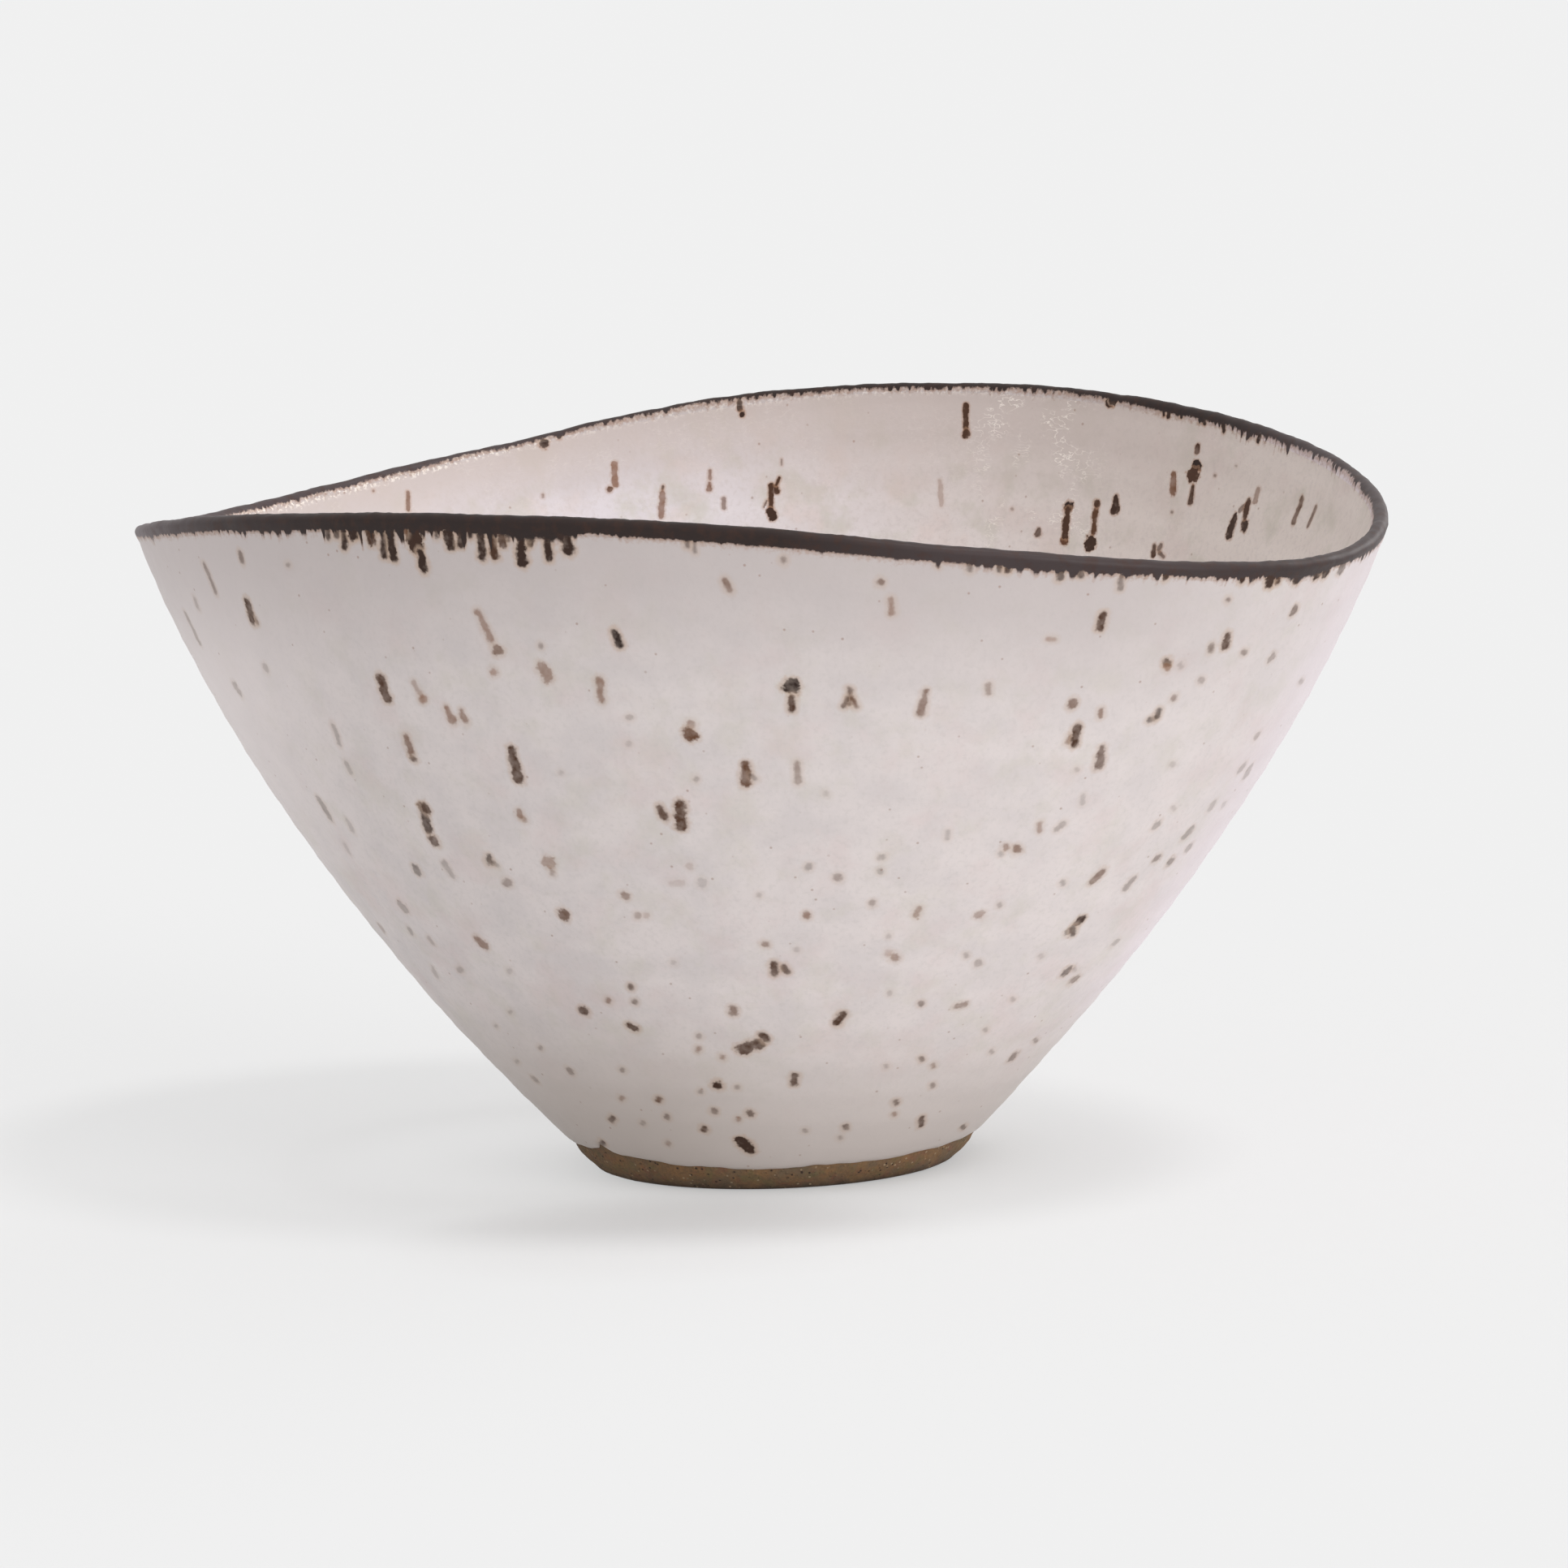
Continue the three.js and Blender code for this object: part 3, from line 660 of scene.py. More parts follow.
MIDDLE_SPECKS = (
    streak(x=410, y=891, to_x=419, to_y=920, wide=0.7, dark=0.35, tan=0.0),
    streak(x=425, y=938, to_x=434, to_y=955, wide=0.6, dark=0.3, tan=0.0),
    streak(x=391, y=981, to_x=409, to_y=1012, wide=0.6, dark=0.4, tan=0.0),
    streak(x=427, y=1008, to_x=436, to_y=1027, wide=0.6, dark=0.25, tan=0.0),
    streak(x=424, y=1038, to_x=431, to_y=1053, wide=0.5, dark=0.2, tan=0.0),
    streak(x=500, y=904, to_x=507, to_y=931, wide=1.0, dark=0.65, tan=0.55),
    streak(x=506, y=934, to_x=513, to_y=935, wide=1.2, dark=0.75),
    streak(x=629, y=918, to_x=640, to_y=964, wide=1.4, dark=0.85, head=0.2),
    streak(x=519, y=989, to_x=529, to_y=1028, wide=1.2, dark=0.85, tan=0.1),
    streak(x=522, y=992, to_x=527, to_y=1001, wide=1.3, dark=0.8),
    streak(x=530, y=1030, to_x=540, to_y=1043, wide=1.1, dark=0.75),
    streak(x=640, y=997, to_x=641, to_y=1009, wide=0.9, dark=0.5, tan=0.7),
    streak(x=642, y=1007, to_x=650, to_y=1011, wide=0.9, dark=0.45, tan=0.7),
    streak(x=545, y=1060, to_x=560, to_y=1082, wide=0.8, dark=0.3, tan=0.1),
    streak(x=511, y=1070, to_x=516, to_y=1075, wide=1.0, dark=0.55, tan=0.0),
    streak(x=603, y=1051, to_x=603, to_y=1064, wide=1.2, dark=0.75, tan=0.0, head=0.3),
    streak(x=605, y=1060, to_x=615, to_y=1068, wide=0.6, dark=0.35, tan=0.0),
    streak(x=675, y=1056, to_x=678, to_y=1070, wide=2.0, dark=0.4, tan=0.85),
    streak(x=680, y=1070, to_x=680, to_y=1079, wide=0.8, dark=0.35, tan=0.5),
    dot(x=625, y=1088, wide=1.3, dark=0.45, tan=0.3),
    streak(x=695, y=1120, to_x=694, to_y=1134, wide=1.8, dark=0.7, tan=0.4),
    streak(x=490, y=1110, to_x=503, to_y=1124, wide=0.8, dark=0.35, tan=0.0),
    streak(x=502, y=1141, to_x=508, to_y=1152, wide=0.6, dark=0.35, tan=0.0),
    streak(x=527, y=1153, to_x=535, to_y=1165, wide=0.5, dark=0.3, tan=0.2),
    streak(x=583, y=1153, to_x=600, to_y=1167, wide=0.9, dark=0.55, tan=0.65, head=0.2),
    dot(x=567, y=1195, wide=1.0, dark=0.3),
    streak(x=533, y=1190, to_x=539, to_y=1206, wide=0.6, dark=0.25),
    dot(x=628, y=1196, wide=0.9, dark=0.2),
    streak(x=466, y=1138, to_x=475, to_y=1150, wide=0.6, dark=0.3, tan=0.6),
    dot(x=691, y=952, wide=0.9, dark=0.2),
    streak(x=852, y=887, to_x=851, to_y=900, wide=1.4, dark=0.45, tan=0.7),
    streak(x=851, y=900, to_x=850, to_y=911, wide=2.3, dark=0.8, tan=0.45),
    streak(x=919, y=936, to_x=919, to_y=968, wide=1.5, dark=0.8, tan=0.4, head=0.2),
    streak(x=924, y=954, to_x=932, to_y=962, wide=0.8, dark=0.45, tan=0.0),
    streak(x=982, y=936, to_x=983, to_y=966, wide=1.0, dark=0.45, tan=0.4, head=0.25),
    streak(x=812, y=991, to_x=821, to_y=1012, wide=1.1, dark=0.85, tan=0.25),
    streak(x=837, y=986, to_x=840, to_y=1023, wide=1.9, dark=0.9, tan=0.25),
    dot(x=858, y=960, wide=0.9, dark=0.35),
    dot(x=776, y=884, wide=1.0, dark=0.3),
    dot(x=997, y=1068, wide=1.1, dark=0.4, tan=0.0),
    dot(x=1032, y=1081, wide=1.3, dark=0.4, tan=0.3),
    dot(x=935, y=1103, wide=0.9, dark=0.25),
    streak(x=769, y=1099, to_x=771, to_y=1108, wide=1.4, dark=0.5, tan=0.55),
    dot(x=786, y=1128, wide=1.0, dark=0.35, tan=0.5),
    dot(x=797, y=1128, wide=1.1, dark=0.2, tan=1.0),
    dot(x=865, y=1088, wide=1.5, dark=0.2, tan=0.0),
    streak(x=823, y=1088, to_x=845, to_y=1088, wide=0.9, dark=0.15, tan=0.8),
    dot(x=850, y=1067, wide=1.2, dark=0.18, tan=0.9),
    dot(x=994, y=1128, wide=1.3, dark=0.55, tan=0.7),
    streak(x=938, y=1163, to_x=948, to_y=1164, wide=0.9, dark=0.55, tan=0.5),
    streak(x=954, y=1184, to_x=954, to_y=1203, wide=1.3, dark=0.85, tan=0.2),
    streak(x=964, y=1188, to_x=971, to_y=1200, wide=1.1, dark=0.8, tan=0.2),
    dot(x=830, y=1186, wide=0.9, dark=0.22),
    dot(x=777, y=1216, wide=1.0, dark=0.75),
    dot(x=982, y=1170, wide=0.9, dark=0.25),
    dot(x=1018, y=978, wide=0.9, dark=0.2),
    dot(x=775, y=917, wide=1.0, dark=0.2),
    streak(x=1328, y=892, to_x=1323, to_y=921, wide=1.3, dark=0.9, tan=0.2),
    streak(x=1320, y=904, to_x=1316, to_y=918, wide=0.9, dark=0.6, tan=0.5),
    streak(x=1359, y=916, to_x=1353, to_y=946, wide=1.2, dark=0.72, tan=0.25, head=0.35),
    dot(x=1327, y=948, wide=0.8, dark=0.25),
    streak(x=1334, y=978, to_x=1334, to_y=992, wide=0.8, dark=0.25, tan=0.0),
    streak(x=1168, y=1022, to_x=1167, to_y=1036, wide=0.8, dark=0.28, tan=0.0),
    streak(x=1084, y=1055, to_x=1089, to_y=1057, wide=1.1, dark=0.33, tan=0.0),
    streak(x=1083, y=1070, to_x=1086, to_y=1077, wide=0.9, dark=0.33, tan=0.0),
    streak(x=1238, y=1040, to_x=1241, to_y=1048, wide=1.1, dark=0.5, tan=0.7),
    streak(x=1252, y=1039, to_x=1254, to_y=1050, wide=1.3, dark=0.6, tan=0.6, head=0.3),
    dot(x=1233, y=1052, wide=0.9, dark=0.3, tan=0.0),
    streak(x=1281, y=1012, to_x=1281, to_y=1026, wide=0.9, dark=0.4, tan=0.75),
    streak(x=1313, y=1012, to_x=1300, to_y=1024, wide=0.9, dark=0.35, tan=0.1),
    streak(x=1362, y=1070, to_x=1342, to_y=1090, wide=0.9, dark=0.6, tan=0.45),
    dot(x=1310, y=1088, wide=1.0, dark=0.35, tan=0.0),
    streak(x=1399, y=1079, to_x=1385, to_y=1098, wide=0.8, dark=0.4, tan=0.1),
    dot(x=1075, y=1113, wide=1.1, dark=0.45, tan=0.3),
    streak(x=1133, y=1117, to_x=1128, to_y=1130, wide=1.0, dark=0.45, tan=0.7),
    streak(x=1209, y=1124, to_x=1206, to_y=1131, wide=1.5, dark=0.4, tan=0.7),
    dot(x=1232, y=1115, wide=0.9, dark=0.33),
    streak(x=1336, y=1129, to_x=1323, to_y=1142, wide=1.0, dark=0.95, tan=0.1),
    streak(x=1322, y=1140, to_x=1322, to_y=1154, wide=1.0, dark=0.75, tan=0.1),
    streak(x=1320, y=1145, to_x=1312, to_y=1151, wide=0.8, dark=0.5, tan=0.1),
    streak(x=1380, y=1156, to_x=1369, to_y=1166, wide=0.6, dark=0.28, tan=0.0),
    streak(x=1102, y=1174, to_x=1105, to_y=1185, wide=1.4, dark=0.5, tan=0.7),
    dot(x=1094, y=1174, wide=1.3, dark=0.25, tan=1.0),
    dot(x=1190, y=1177, wide=0.9, dark=0.35),
    dot(x=1205, y=1187, wide=1.2, dark=0.35),
    dot(x=1283, y=1178, wide=0.9, dark=0.2),
    dot(x=1095, y=1153, wide=0.8, dark=0.25),
    streak(x=1320, y=1190, to_x=1308, to_y=1203, wide=0.8, dark=0.7, tan=0.1),
    streak(x=1328, y=1204, to_x=1320, to_y=1210, wide=0.8, dark=0.5, tan=0.3),
    dot(x=1324, y=1195, wide=0.8, dark=0.25),
    streak(x=1550, y=904, to_x=1547, to_y=910, wide=0.7, dark=0.3),
    streak(x=1532, y=943, to_x=1529, to_y=949, wide=0.8, dark=0.3, tan=0.0),
    streak(x=1542, y=942, to_x=1533, to_y=960, wide=0.6, dark=0.3, tan=0.0),
    streak(x=1497, y=986, to_x=1490, to_y=1000, wide=0.6, dark=0.25, tan=0.0),
    streak(x=1511, y=986, to_x=1505, to_y=996, wide=0.5, dark=0.2, tan=0.0),
    dot(x=1446, y=996, wide=0.9, dark=0.2),
    dot(x=1445, y=942, wide=1.0, dark=0.2),
    streak(x=1430, y=1012, to_x=1420, to_y=1022, wide=0.8, dark=0.4, tan=0.0),
    streak(x=1470, y=1018, to_x=1456, to_y=1036, wide=0.7, dark=0.4, tan=0.0),
    streak(x=1469, y=1039, to_x=1460, to_y=1050, wide=0.6, dark=0.35, tan=0.0),
    streak(x=1428, y=1054, to_x=1423, to_y=1061, wide=0.8, dark=0.5, tan=0.2),
    streak(x=1446, y=1056, to_x=1438, to_y=1067, wide=0.7, dark=0.5, tan=0.1),
)

LOWER_SPECKS = (
    streak(x=717, y=1244, to_x=722, to_y=1248, wide=1.1, dark=0.8),
    dot(x=750, y=1233, wide=1.0, dark=0.5, tan=0.6),
    dot(x=782, y=1234, wide=0.9, dark=0.6),
    streak(x=772, y=1262, to_x=787, to_y=1269, wide=1.0, dark=0.85),
    streak(x=904, y=1239, to_x=903, to_y=1252, wide=1.3, dark=0.62, tan=0.45),
    streak(x=908, y=1296, to_x=941, to_y=1283, wide=1.8, dark=0.85),
    streak(x=937, y=1273, to_x=947, to_y=1284, wide=1.1, dark=0.85),
    dot(x=861, y=1277, wide=0.9, dark=0.4),
    dot(x=860, y=1293, wide=1.0, dark=0.5, tan=0.7),
    dot(x=890, y=1303, wide=0.9, dark=0.45, tan=0.65),
    streak(x=1041, y=1247, to_x=1029, to_y=1263, wide=1.2, dark=0.9),
    dot(x=1135, y=1237, wide=1.0, dark=0.55),
    streak(x=1176, y=1240, to_x=1192, to_y=1237, wide=0.9, dark=0.5, tan=0.5),
    dot(x=1248, y=1231, wide=0.9, dark=0.3),
    dot(x=1096, y=1224, wide=0.9, dark=0.25),
    dot(x=1214, y=1269, wide=0.8, dark=0.3),
    dot(x=1276, y=1282, wide=0.8, dark=0.45),
    streak(x=1252, y=1296, to_x=1243, to_y=1309, wide=0.8, dark=0.55),
    dot(x=1222, y=1296, wide=0.8, dark=0.35),
    dot(x=1136, y=1305, wide=0.9, dark=0.6),
    dot(x=1150, y=1313, wide=0.9, dark=0.45, tan=0.65),
    dot(x=1092, y=1314, wide=0.8, dark=0.3),
    dot(x=1149, y=1337, wide=0.9, dark=0.5),
    streak(x=979, y=1322, to_x=978, to_y=1338, wide=1.2, dark=0.85),
    streak(x=884, y=1333, to_x=884, to_y=1341, wide=1.8, dark=1.0, tan=0.1),
    dot(x=908, y=1340, wide=0.8, dark=0.4),
    dot(x=863, y=1345, wide=0.8, dark=0.4),
    dot(x=812, y=1355, wide=1.0, dark=0.75, tan=0.4),
    dot(x=822, y=1376, wide=1.0, dark=0.55),
    streak(x=880, y=1365, to_x=880, to_y=1373, wide=1.1, dark=0.65),
    streak(x=919, y=1371, to_x=930, to_y=1373, wide=1.0, dark=0.75),
    dot(x=910, y=1379, wide=0.9, dark=0.45, tan=0.7),
    dot(x=868, y=1391, wide=1.1, dark=0.85),
    streak(x=909, y=1401, to_x=927, to_y=1420, wide=1.6, dark=1.1, tan=0.1),
    dot(x=992, y=1393, wide=0.8, dark=0.35),
    dot(x=1042, y=1389, wide=1.1, dark=0.65),
    dot(x=1035, y=1402, wide=0.8, dark=0.35),
    dot(x=1104, y=1358, wide=1.0, dark=0.7),
    dot(x=1102, y=1373, wide=0.9, dark=0.45, tan=0.7),
    streak(x=1135, y=1375, to_x=1135, to_y=1389, wide=1.0, dark=0.85),
    dot(x=1187, y=1389, wide=0.9, dark=0.7),
    dot(x=767, y=1318, wide=0.9, dark=0.45),
    dot(x=766, y=1353, wide=0.9, dark=0.45, tan=0.65),
    dot(x=754, y=1379, wide=1.1, dark=0.75),
    streak(x=699, y=1315, to_x=706, to_y=1325, wide=0.7, dark=0.45),
    dot(x=666, y=1291, wide=0.7, dark=0.4),
    dot(x=637, y=1308, wide=0.7, dark=0.3),
    streak(x=656, y=1326, to_x=662, to_y=1334, wide=0.6, dark=0.4),
    dot(x=629, y=1247, wide=0.7, dark=0.3),
    dot(x=611, y=1264, wide=0.6, dark=0.3),
    dot(x=823, y=1409, wide=0.9, dark=0.35, tan=0.65),
    dot(x=742, y=1409, wide=1.0, dark=0.8),
    dot(x=792, y=1384, wide=0.8, dark=0.35),
)

INSIDE_SPECKS = (
    streak(x=1317, y=620, to_x=1315, to_y=628, wide=1.5, dark=1.0, tan=0.0),
    streak(x=1316, y=624, to_x=1312, to_y=664, wide=1.1, dark=0.95),
    streak(x=1311, y=664, to_x=1311, to_y=670, wide=1.3, dark=0.85, tan=0.4),
    streak(x=1352, y=619, to_x=1351, to_y=623, wide=1.1, dark=0.95),
    streak(x=1351, y=623, to_x=1347, to_y=660, wide=0.9, dark=0.85, tan=0.35),
    streak(x=1344, y=660, to_x=1342, to_y=679, wide=2.0, dark=1.0, tan=0.1),
    streak(x=1375, y=607, to_x=1374, to_y=631, wide=1.1, dark=0.95, tan=0.1, head=0.5),
    streak(x=1280, y=649, to_x=1279, to_y=659, wide=0.9, dark=0.7, head=0.4),
    dot(x=1247, y=627, wide=0.6, dark=0.35, tan=0.4),
    dot(x=1444, y=631, wide=0.5, dark=0.45),
    streak(x=1446, y=580, to_x=1446, to_y=608, wide=1.0, dark=0.65, tan=0.65, head=0.3),
    streak(x=1422, y=670, to_x=1421, to_y=687, wide=0.8, dark=0.8),
    streak(x=1432, y=669, to_x=1426, to_y=679, wide=0.7, dark=0.65),
    streak(x=1427, y=680, to_x=1435, to_y=687, wide=0.7, dark=0.65),
    streak(x=1476, y=547, to_x=1474, to_y=560, wide=0.8, dark=0.85),
    streak(x=1475, y=571, to_x=1474, to_y=578, wide=1.5, dark=1.0, tan=0.0),
    streak(x=1471, y=579, to_x=1468, to_y=592, wide=1.9, dark=0.95),
    streak(x=1470, y=596, to_x=1467, to_y=621, wide=0.7, dark=0.85, head=0.3),
    streak(x=1523, y=631, to_x=1513, to_y=663, wide=0.9, dark=0.95, tan=0.1, head=0.3),
    streak(x=1539, y=614, to_x=1533, to_y=640, wide=0.8, dark=0.9),
    streak(x=1533, y=640, to_x=1533, to_y=656, wide=1.1, dark=1.0, tan=0.1),
    streak(x=1536, y=620, to_x=1526, to_y=631, wide=0.6, dark=0.6),
    streak(x=1551, y=600, to_x=1546, to_y=621, wide=0.8, dark=0.45, tan=0.6),
    streak(x=1605, y=611, to_x=1592, to_y=648, wide=0.6, dark=0.7, tan=0.3),
    streak(x=1622, y=622, to_x=1611, to_y=650, wide=0.4, dark=0.65, tan=0.3),
    dot(x=1497, y=586, wide=0.5, dark=0.5),
    dot(x=1523, y=574, wide=0.5, dark=0.3),
    streak(x=757, y=568, to_x=758, to_y=601, wide=1.1, dark=0.55, tan=0.8),
    streak(x=752, y=599, to_x=751, to_y=606, wide=1.2, dark=0.75, tan=0.4),
    streak(x=817, y=598, to_x=816, to_y=604, wide=0.5, dark=0.75),
    streak(x=816, y=604, to_x=815, to_y=639, wide=1.1, dark=0.55, tan=0.7),
    streak(x=875, y=578, to_x=875, to_y=592, wide=0.6, dark=0.55, tan=0.6),
    streak(x=874, y=592, to_x=874, to_y=605, wide=0.9, dark=0.6, tan=0.7, head=0.3),
    streak(x=892, y=612, to_x=892, to_y=628, wide=0.8, dark=0.55, tan=0.4),
    streak(x=669, y=608, to_x=669, to_y=614, wide=0.5, dark=0.45, tan=0.5),
    streak(x=950, y=595, to_x=950, to_y=628, wide=0.9, dark=0.95),
    streak(x=961, y=587, to_x=956, to_y=599, wide=0.5, dark=0.95),
    streak(x=955, y=597, to_x=958, to_y=608, wide=1.2, dark=0.95, tan=0.2),
    streak(x=946, y=626, to_x=955, to_y=641, wide=1.6, dark=0.95, tan=0.1),
    streak(x=945, y=616, to_x=941, to_y=626, wide=0.4, dark=0.7),
    streak(x=963, y=565, to_x=963, to_y=574, wide=0.3, dark=0.5),
    streak(x=503, y=605, to_x=503, to_y=630, wide=0.7, dark=0.6, tan=0.6),
    dot(x=460, y=605, wide=0.5, dark=0.5, tan=0.5),
    streak(x=1190, y=496, to_x=1190, to_y=532, wide=1.0, dark=0.95, tan=0.2),
    streak(x=1190, y=531, to_x=1190, to_y=537, wide=1.4, dark=0.9),
    streak(x=1158, y=590, to_x=1160, to_y=625, wide=0.8, dark=0.25, tan=0.9),
)

Placed = namedtuple("Placed", "centre down across normal half_long half_wide dark tan head")

# A shorter speck than this runs straight down, and a slanting wall shows at least this share of itself
SHORTEST_STREAK = 0.3
LEAST_SHARE = 0.3

# How far a point may lie behind what the camera sees and still count as seen, in millimetres
SEEN_DEPTH = 1.5

# Specks on the sides that the photograph doesn't show: how many are tried, the seed of their dice, where up
# the wall they may lie and what counts as high, and what they may be like in millimetres, shares and odds
OUTSIDE_TRIES = 420
INSIDE_TRIES = 210
STREWN_SEED = 4
STREWN_SHARES = (0.05, 0.96)
LOW_DOWN_ODDS = 0.35
UPWARD_POWER = 0.7
HIGH_SHARE = 0.5
STREWN_WIDTHS = (0.6, 0.8, 0.9, 1.1, 1.3, 1.7)
STREWN_HEADS = (0.0, 0.0, 0.3, -0.2)
BLACK_ODDS = 0.3
BLACK_DARKS = (0.7, 0.95)
OTHER_DARKS = (0.2, 0.6)
BROWN_ODDS = 0.6
BROWN_TANS = (0.0, 0.3)
WARM_TANS = (0.4, 0.9)
HIGH_LENGTHS = (1.0, 5.6)
LOW_LENGTHS = (0.3, 2.2)
HIGH_SWAY = 0.12
LOW_SWAY = 0.8

# Two specks' sizes and this room in millimetres make their reach, and past so many reaches all is far
SPECK_ROOM = 1.0
SPECK_FAR = 2.5

# A face is painted where the square of its distance, in sizes of the speck with a margin, is under
# SPECK_REACH, and where it lies near the speck's plane and faces its way. Elsewhere it gets NO_SPECK.
SPECK_MARGIN = 1.4
SPECK_REACH = 3.2
SPECK_DEPTH = 1.5
SPECK_FACING = 0.3
NO_SPECK = 99.0


def photo_ray(x, y):
    """The camera's place and the direction of one pixel of the photograph."""
    matrix = camera_matrix()
    middle = PHOTO_SIDE / 2
    toward = Vector(((x - middle) / PHOTO_FOCAL, (middle - y) / PHOTO_FOCAL, -1.0))
    return matrix.translation, (matrix.to_3x3() @ toward).normalized()


def bowl_tree(rings):
    points = rings.reshape(-1, 3) * MM
    return BVHTree.FromPolygons(points.tolist(), face_grid(len(rings), False).tolist())


def speck_from(start, end, normal, wide, dark, tan, head):
    """A speck between two points of the surface, in millimetres."""
    normal = unit(normal)
    down = end - start
    down = down - normal * np.dot(down, normal)
    length = np.linalg.norm(down)
    if length < SHORTEST_STREAK:
        down = np.array([0.0, 0.0, -1.0])
        down = down - normal * np.dot(down, normal)
    down = unit(down)
    half_long = max(length / 2, wide / 2)
    across = np.cross(normal, down)
    return Placed((start + end) / 2, down, across, normal, half_long, wide / 2, dark, tan, head)


def seen_share(speck, sight):
    """How much of a speck's width is left where the wall is seen at a slant."""
    across = speck.across - sight * np.dot(speck.across, sight)
    down = unit(speck.down - sight * np.dot(speck.down, sight))
    return max(np.linalg.norm(np.cross(across, down)), LEAST_SHARE)


def dot_from(point, normal, sight, wide, dark, tan):
    """A speck that looks round from the camera: it is drawn out where the wall is seen at a slant."""
    normal = unit(normal)
    slant = max(abs(np.dot(normal, sight)), LEAST_SHARE)
    down = unit(sight - normal * np.dot(sight, normal))
    across = np.cross(normal, down)
    return Placed(point, down, across, normal, wide / 2 / slant, wide / 2, dark, tan, 0.0)


def at_pixel(x, y, tree):
    """The point of the bowl at one pixel of the photograph, its normal and the line of sight."""
    eye, sight = photo_ray(x, y)
    place, normal = tree.ray_cast(eye, sight)[:2]
    if place is None:
        raise SystemExit("a speck misses the bowl at %d, %d" % (x, y))
    return np.array(place) / MM, np.array(normal), np.array(sight)


def photographed(specks, tree):
    """The specks that were read off the photograph, where they lie on the bowl."""
    placed = []
    for speck in specks:
        start, start_normal, sight = at_pixel(speck.x, speck.y, tree)
        if (speck.x, speck.y) == (speck.to_x, speck.to_y):
            placed.append(dot_from(start, start_normal, sight, speck.wide, speck.dark, speck.tan))
            continue
        end, end_normal, sight = at_pixel(speck.to_x, speck.to_y, tree)
        normal = start_normal + end_normal
        marks = (speck.dark, speck.tan, speck.head)
        wide = speck.wide / seen_share(speck_from(start, end, normal, speck.wide, *marks), sight)
        placed.append(speck_from(start, end, normal, wide, *marks))
    return placed


def in_photograph(point, tree):
    """Whether the photograph shows a point of the surface, in millimetres."""
    eye = camera_matrix().translation
    toward = Vector(point * MM) - eye
    place = tree.ray_cast(eye, toward.normalized())[0]
    return place is not None and (place - eye).length > toward.length - SEEN_DEPTH * MM


def strewn_share(dice):
    """How far up the wall a speck lies."""
    low_down = dice.random() < LOW_DOWN_ODDS
    share = 1 - math.sqrt(dice.uniform(0.0, 1.0)) if low_down else dice.random() ** UPWARD_POWER
    return np.clip(np.array([share]), *STREWN_SHARES)


def strewn_place(dice, inside):
    """A random point of the wall, with its normal and the way up, and whether it is high on the wall."""
    angle = np.array([dice.uniform(0, 2 * math.pi)])
    share = strewn_share(dice)
    up, inward = wall_frame(share, angle)
    if inside and share[0] < WELL_START:
        point = well_point(1 - share / WELL_START, angle, 0.0)[0]
        normal = np.array([0.0, 0.0, 1.0])
    else:
        point = in_wall(share, angle, wall_at(share) if inside else 0.0)[0]
        normal = inward[0] if inside else -inward[0]
    return point, normal, up[0], share[0] > HIGH_SHARE


def unseen(tree):
    """Specks like the photographed ones on the sides that the photograph doesn't show."""
    dice = random.Random(STREWN_SEED)
    placed = []
    for inside in [False] * OUTSIDE_TRIES + [True] * INSIDE_TRIES:
        point, normal, up, high = strewn_place(dice, inside)
        kind = dice.random()
        wide = dice.choice(STREWN_WIDTHS)
        dark = dice.uniform(*(BLACK_DARKS if kind < BLACK_ODDS else OTHER_DARKS))
        tan = dice.uniform(*(BROWN_TANS if kind < BROWN_ODDS else WARM_TANS))
        length = dice.uniform(*(HIGH_LENGTHS if high else LOW_LENGTHS))
        sway = dice.gauss(0.0, HIGH_SWAY if high else LOW_SWAY)
        head = dice.choice(STREWN_HEADS)
        half = unit(np.cross(normal, up) * sway - up) * length / 2
        if not any(in_photograph(place, tree) for place in (point - half, point, point + half)):
            placed.append(speck_from(point - half, point + half, normal, wide, dark, tan, head))
    return placed


def speck_layers(placed):
    """Sorts specks into two layers, each into the one whose specks lie farther from it."""
    centres = np.array([speck.centre for speck in placed])
    halves = np.array([(speck.half_wide, speck.half_long) for speck in placed])
    chosen = np.zeros(len(placed), int)
    for i, speck in enumerate(placed):
        away = centres[:i] - speck.centre
        reach = halves[:i] + halves[i] + SPECK_ROOM
        across = away @ speck.across / reach[:, 0]
        along = away @ speck.down / reach[:, 1]
        distance = np.sqrt(across ** 2 + along ** 2 + (away @ speck.normal) ** 2)
        nearest = [distance[chosen[:i] == layer].min(initial=SPECK_FAR) for layer in (0, 1)]
        chosen[i] = 0 if nearest[0] >= nearest[1] else 1
    return [[speck for speck, layer in zip(placed, chosen) if layer == wanted] for wanted in (0, 1)]


def read(items, name, kind=float, width=1):
    """One property of all vertices, corners or faces of a mesh."""
    values = np.zeros(len(items) * width, kind)
    items.foreach_get(name, values)
    return values.reshape(-1, width) if width > 1 else values


def store(mesh, name, domain, values):
    """Stores a number or a vector for each point or corner of a mesh."""
    number = values.ndim == 1
    layer = mesh.attributes.new(name, "FLOAT" if number else "FLOAT_VECTOR", domain)
    layer.data.foreach_set("value" if number else "vector", values.astype(np.float32).ravel())


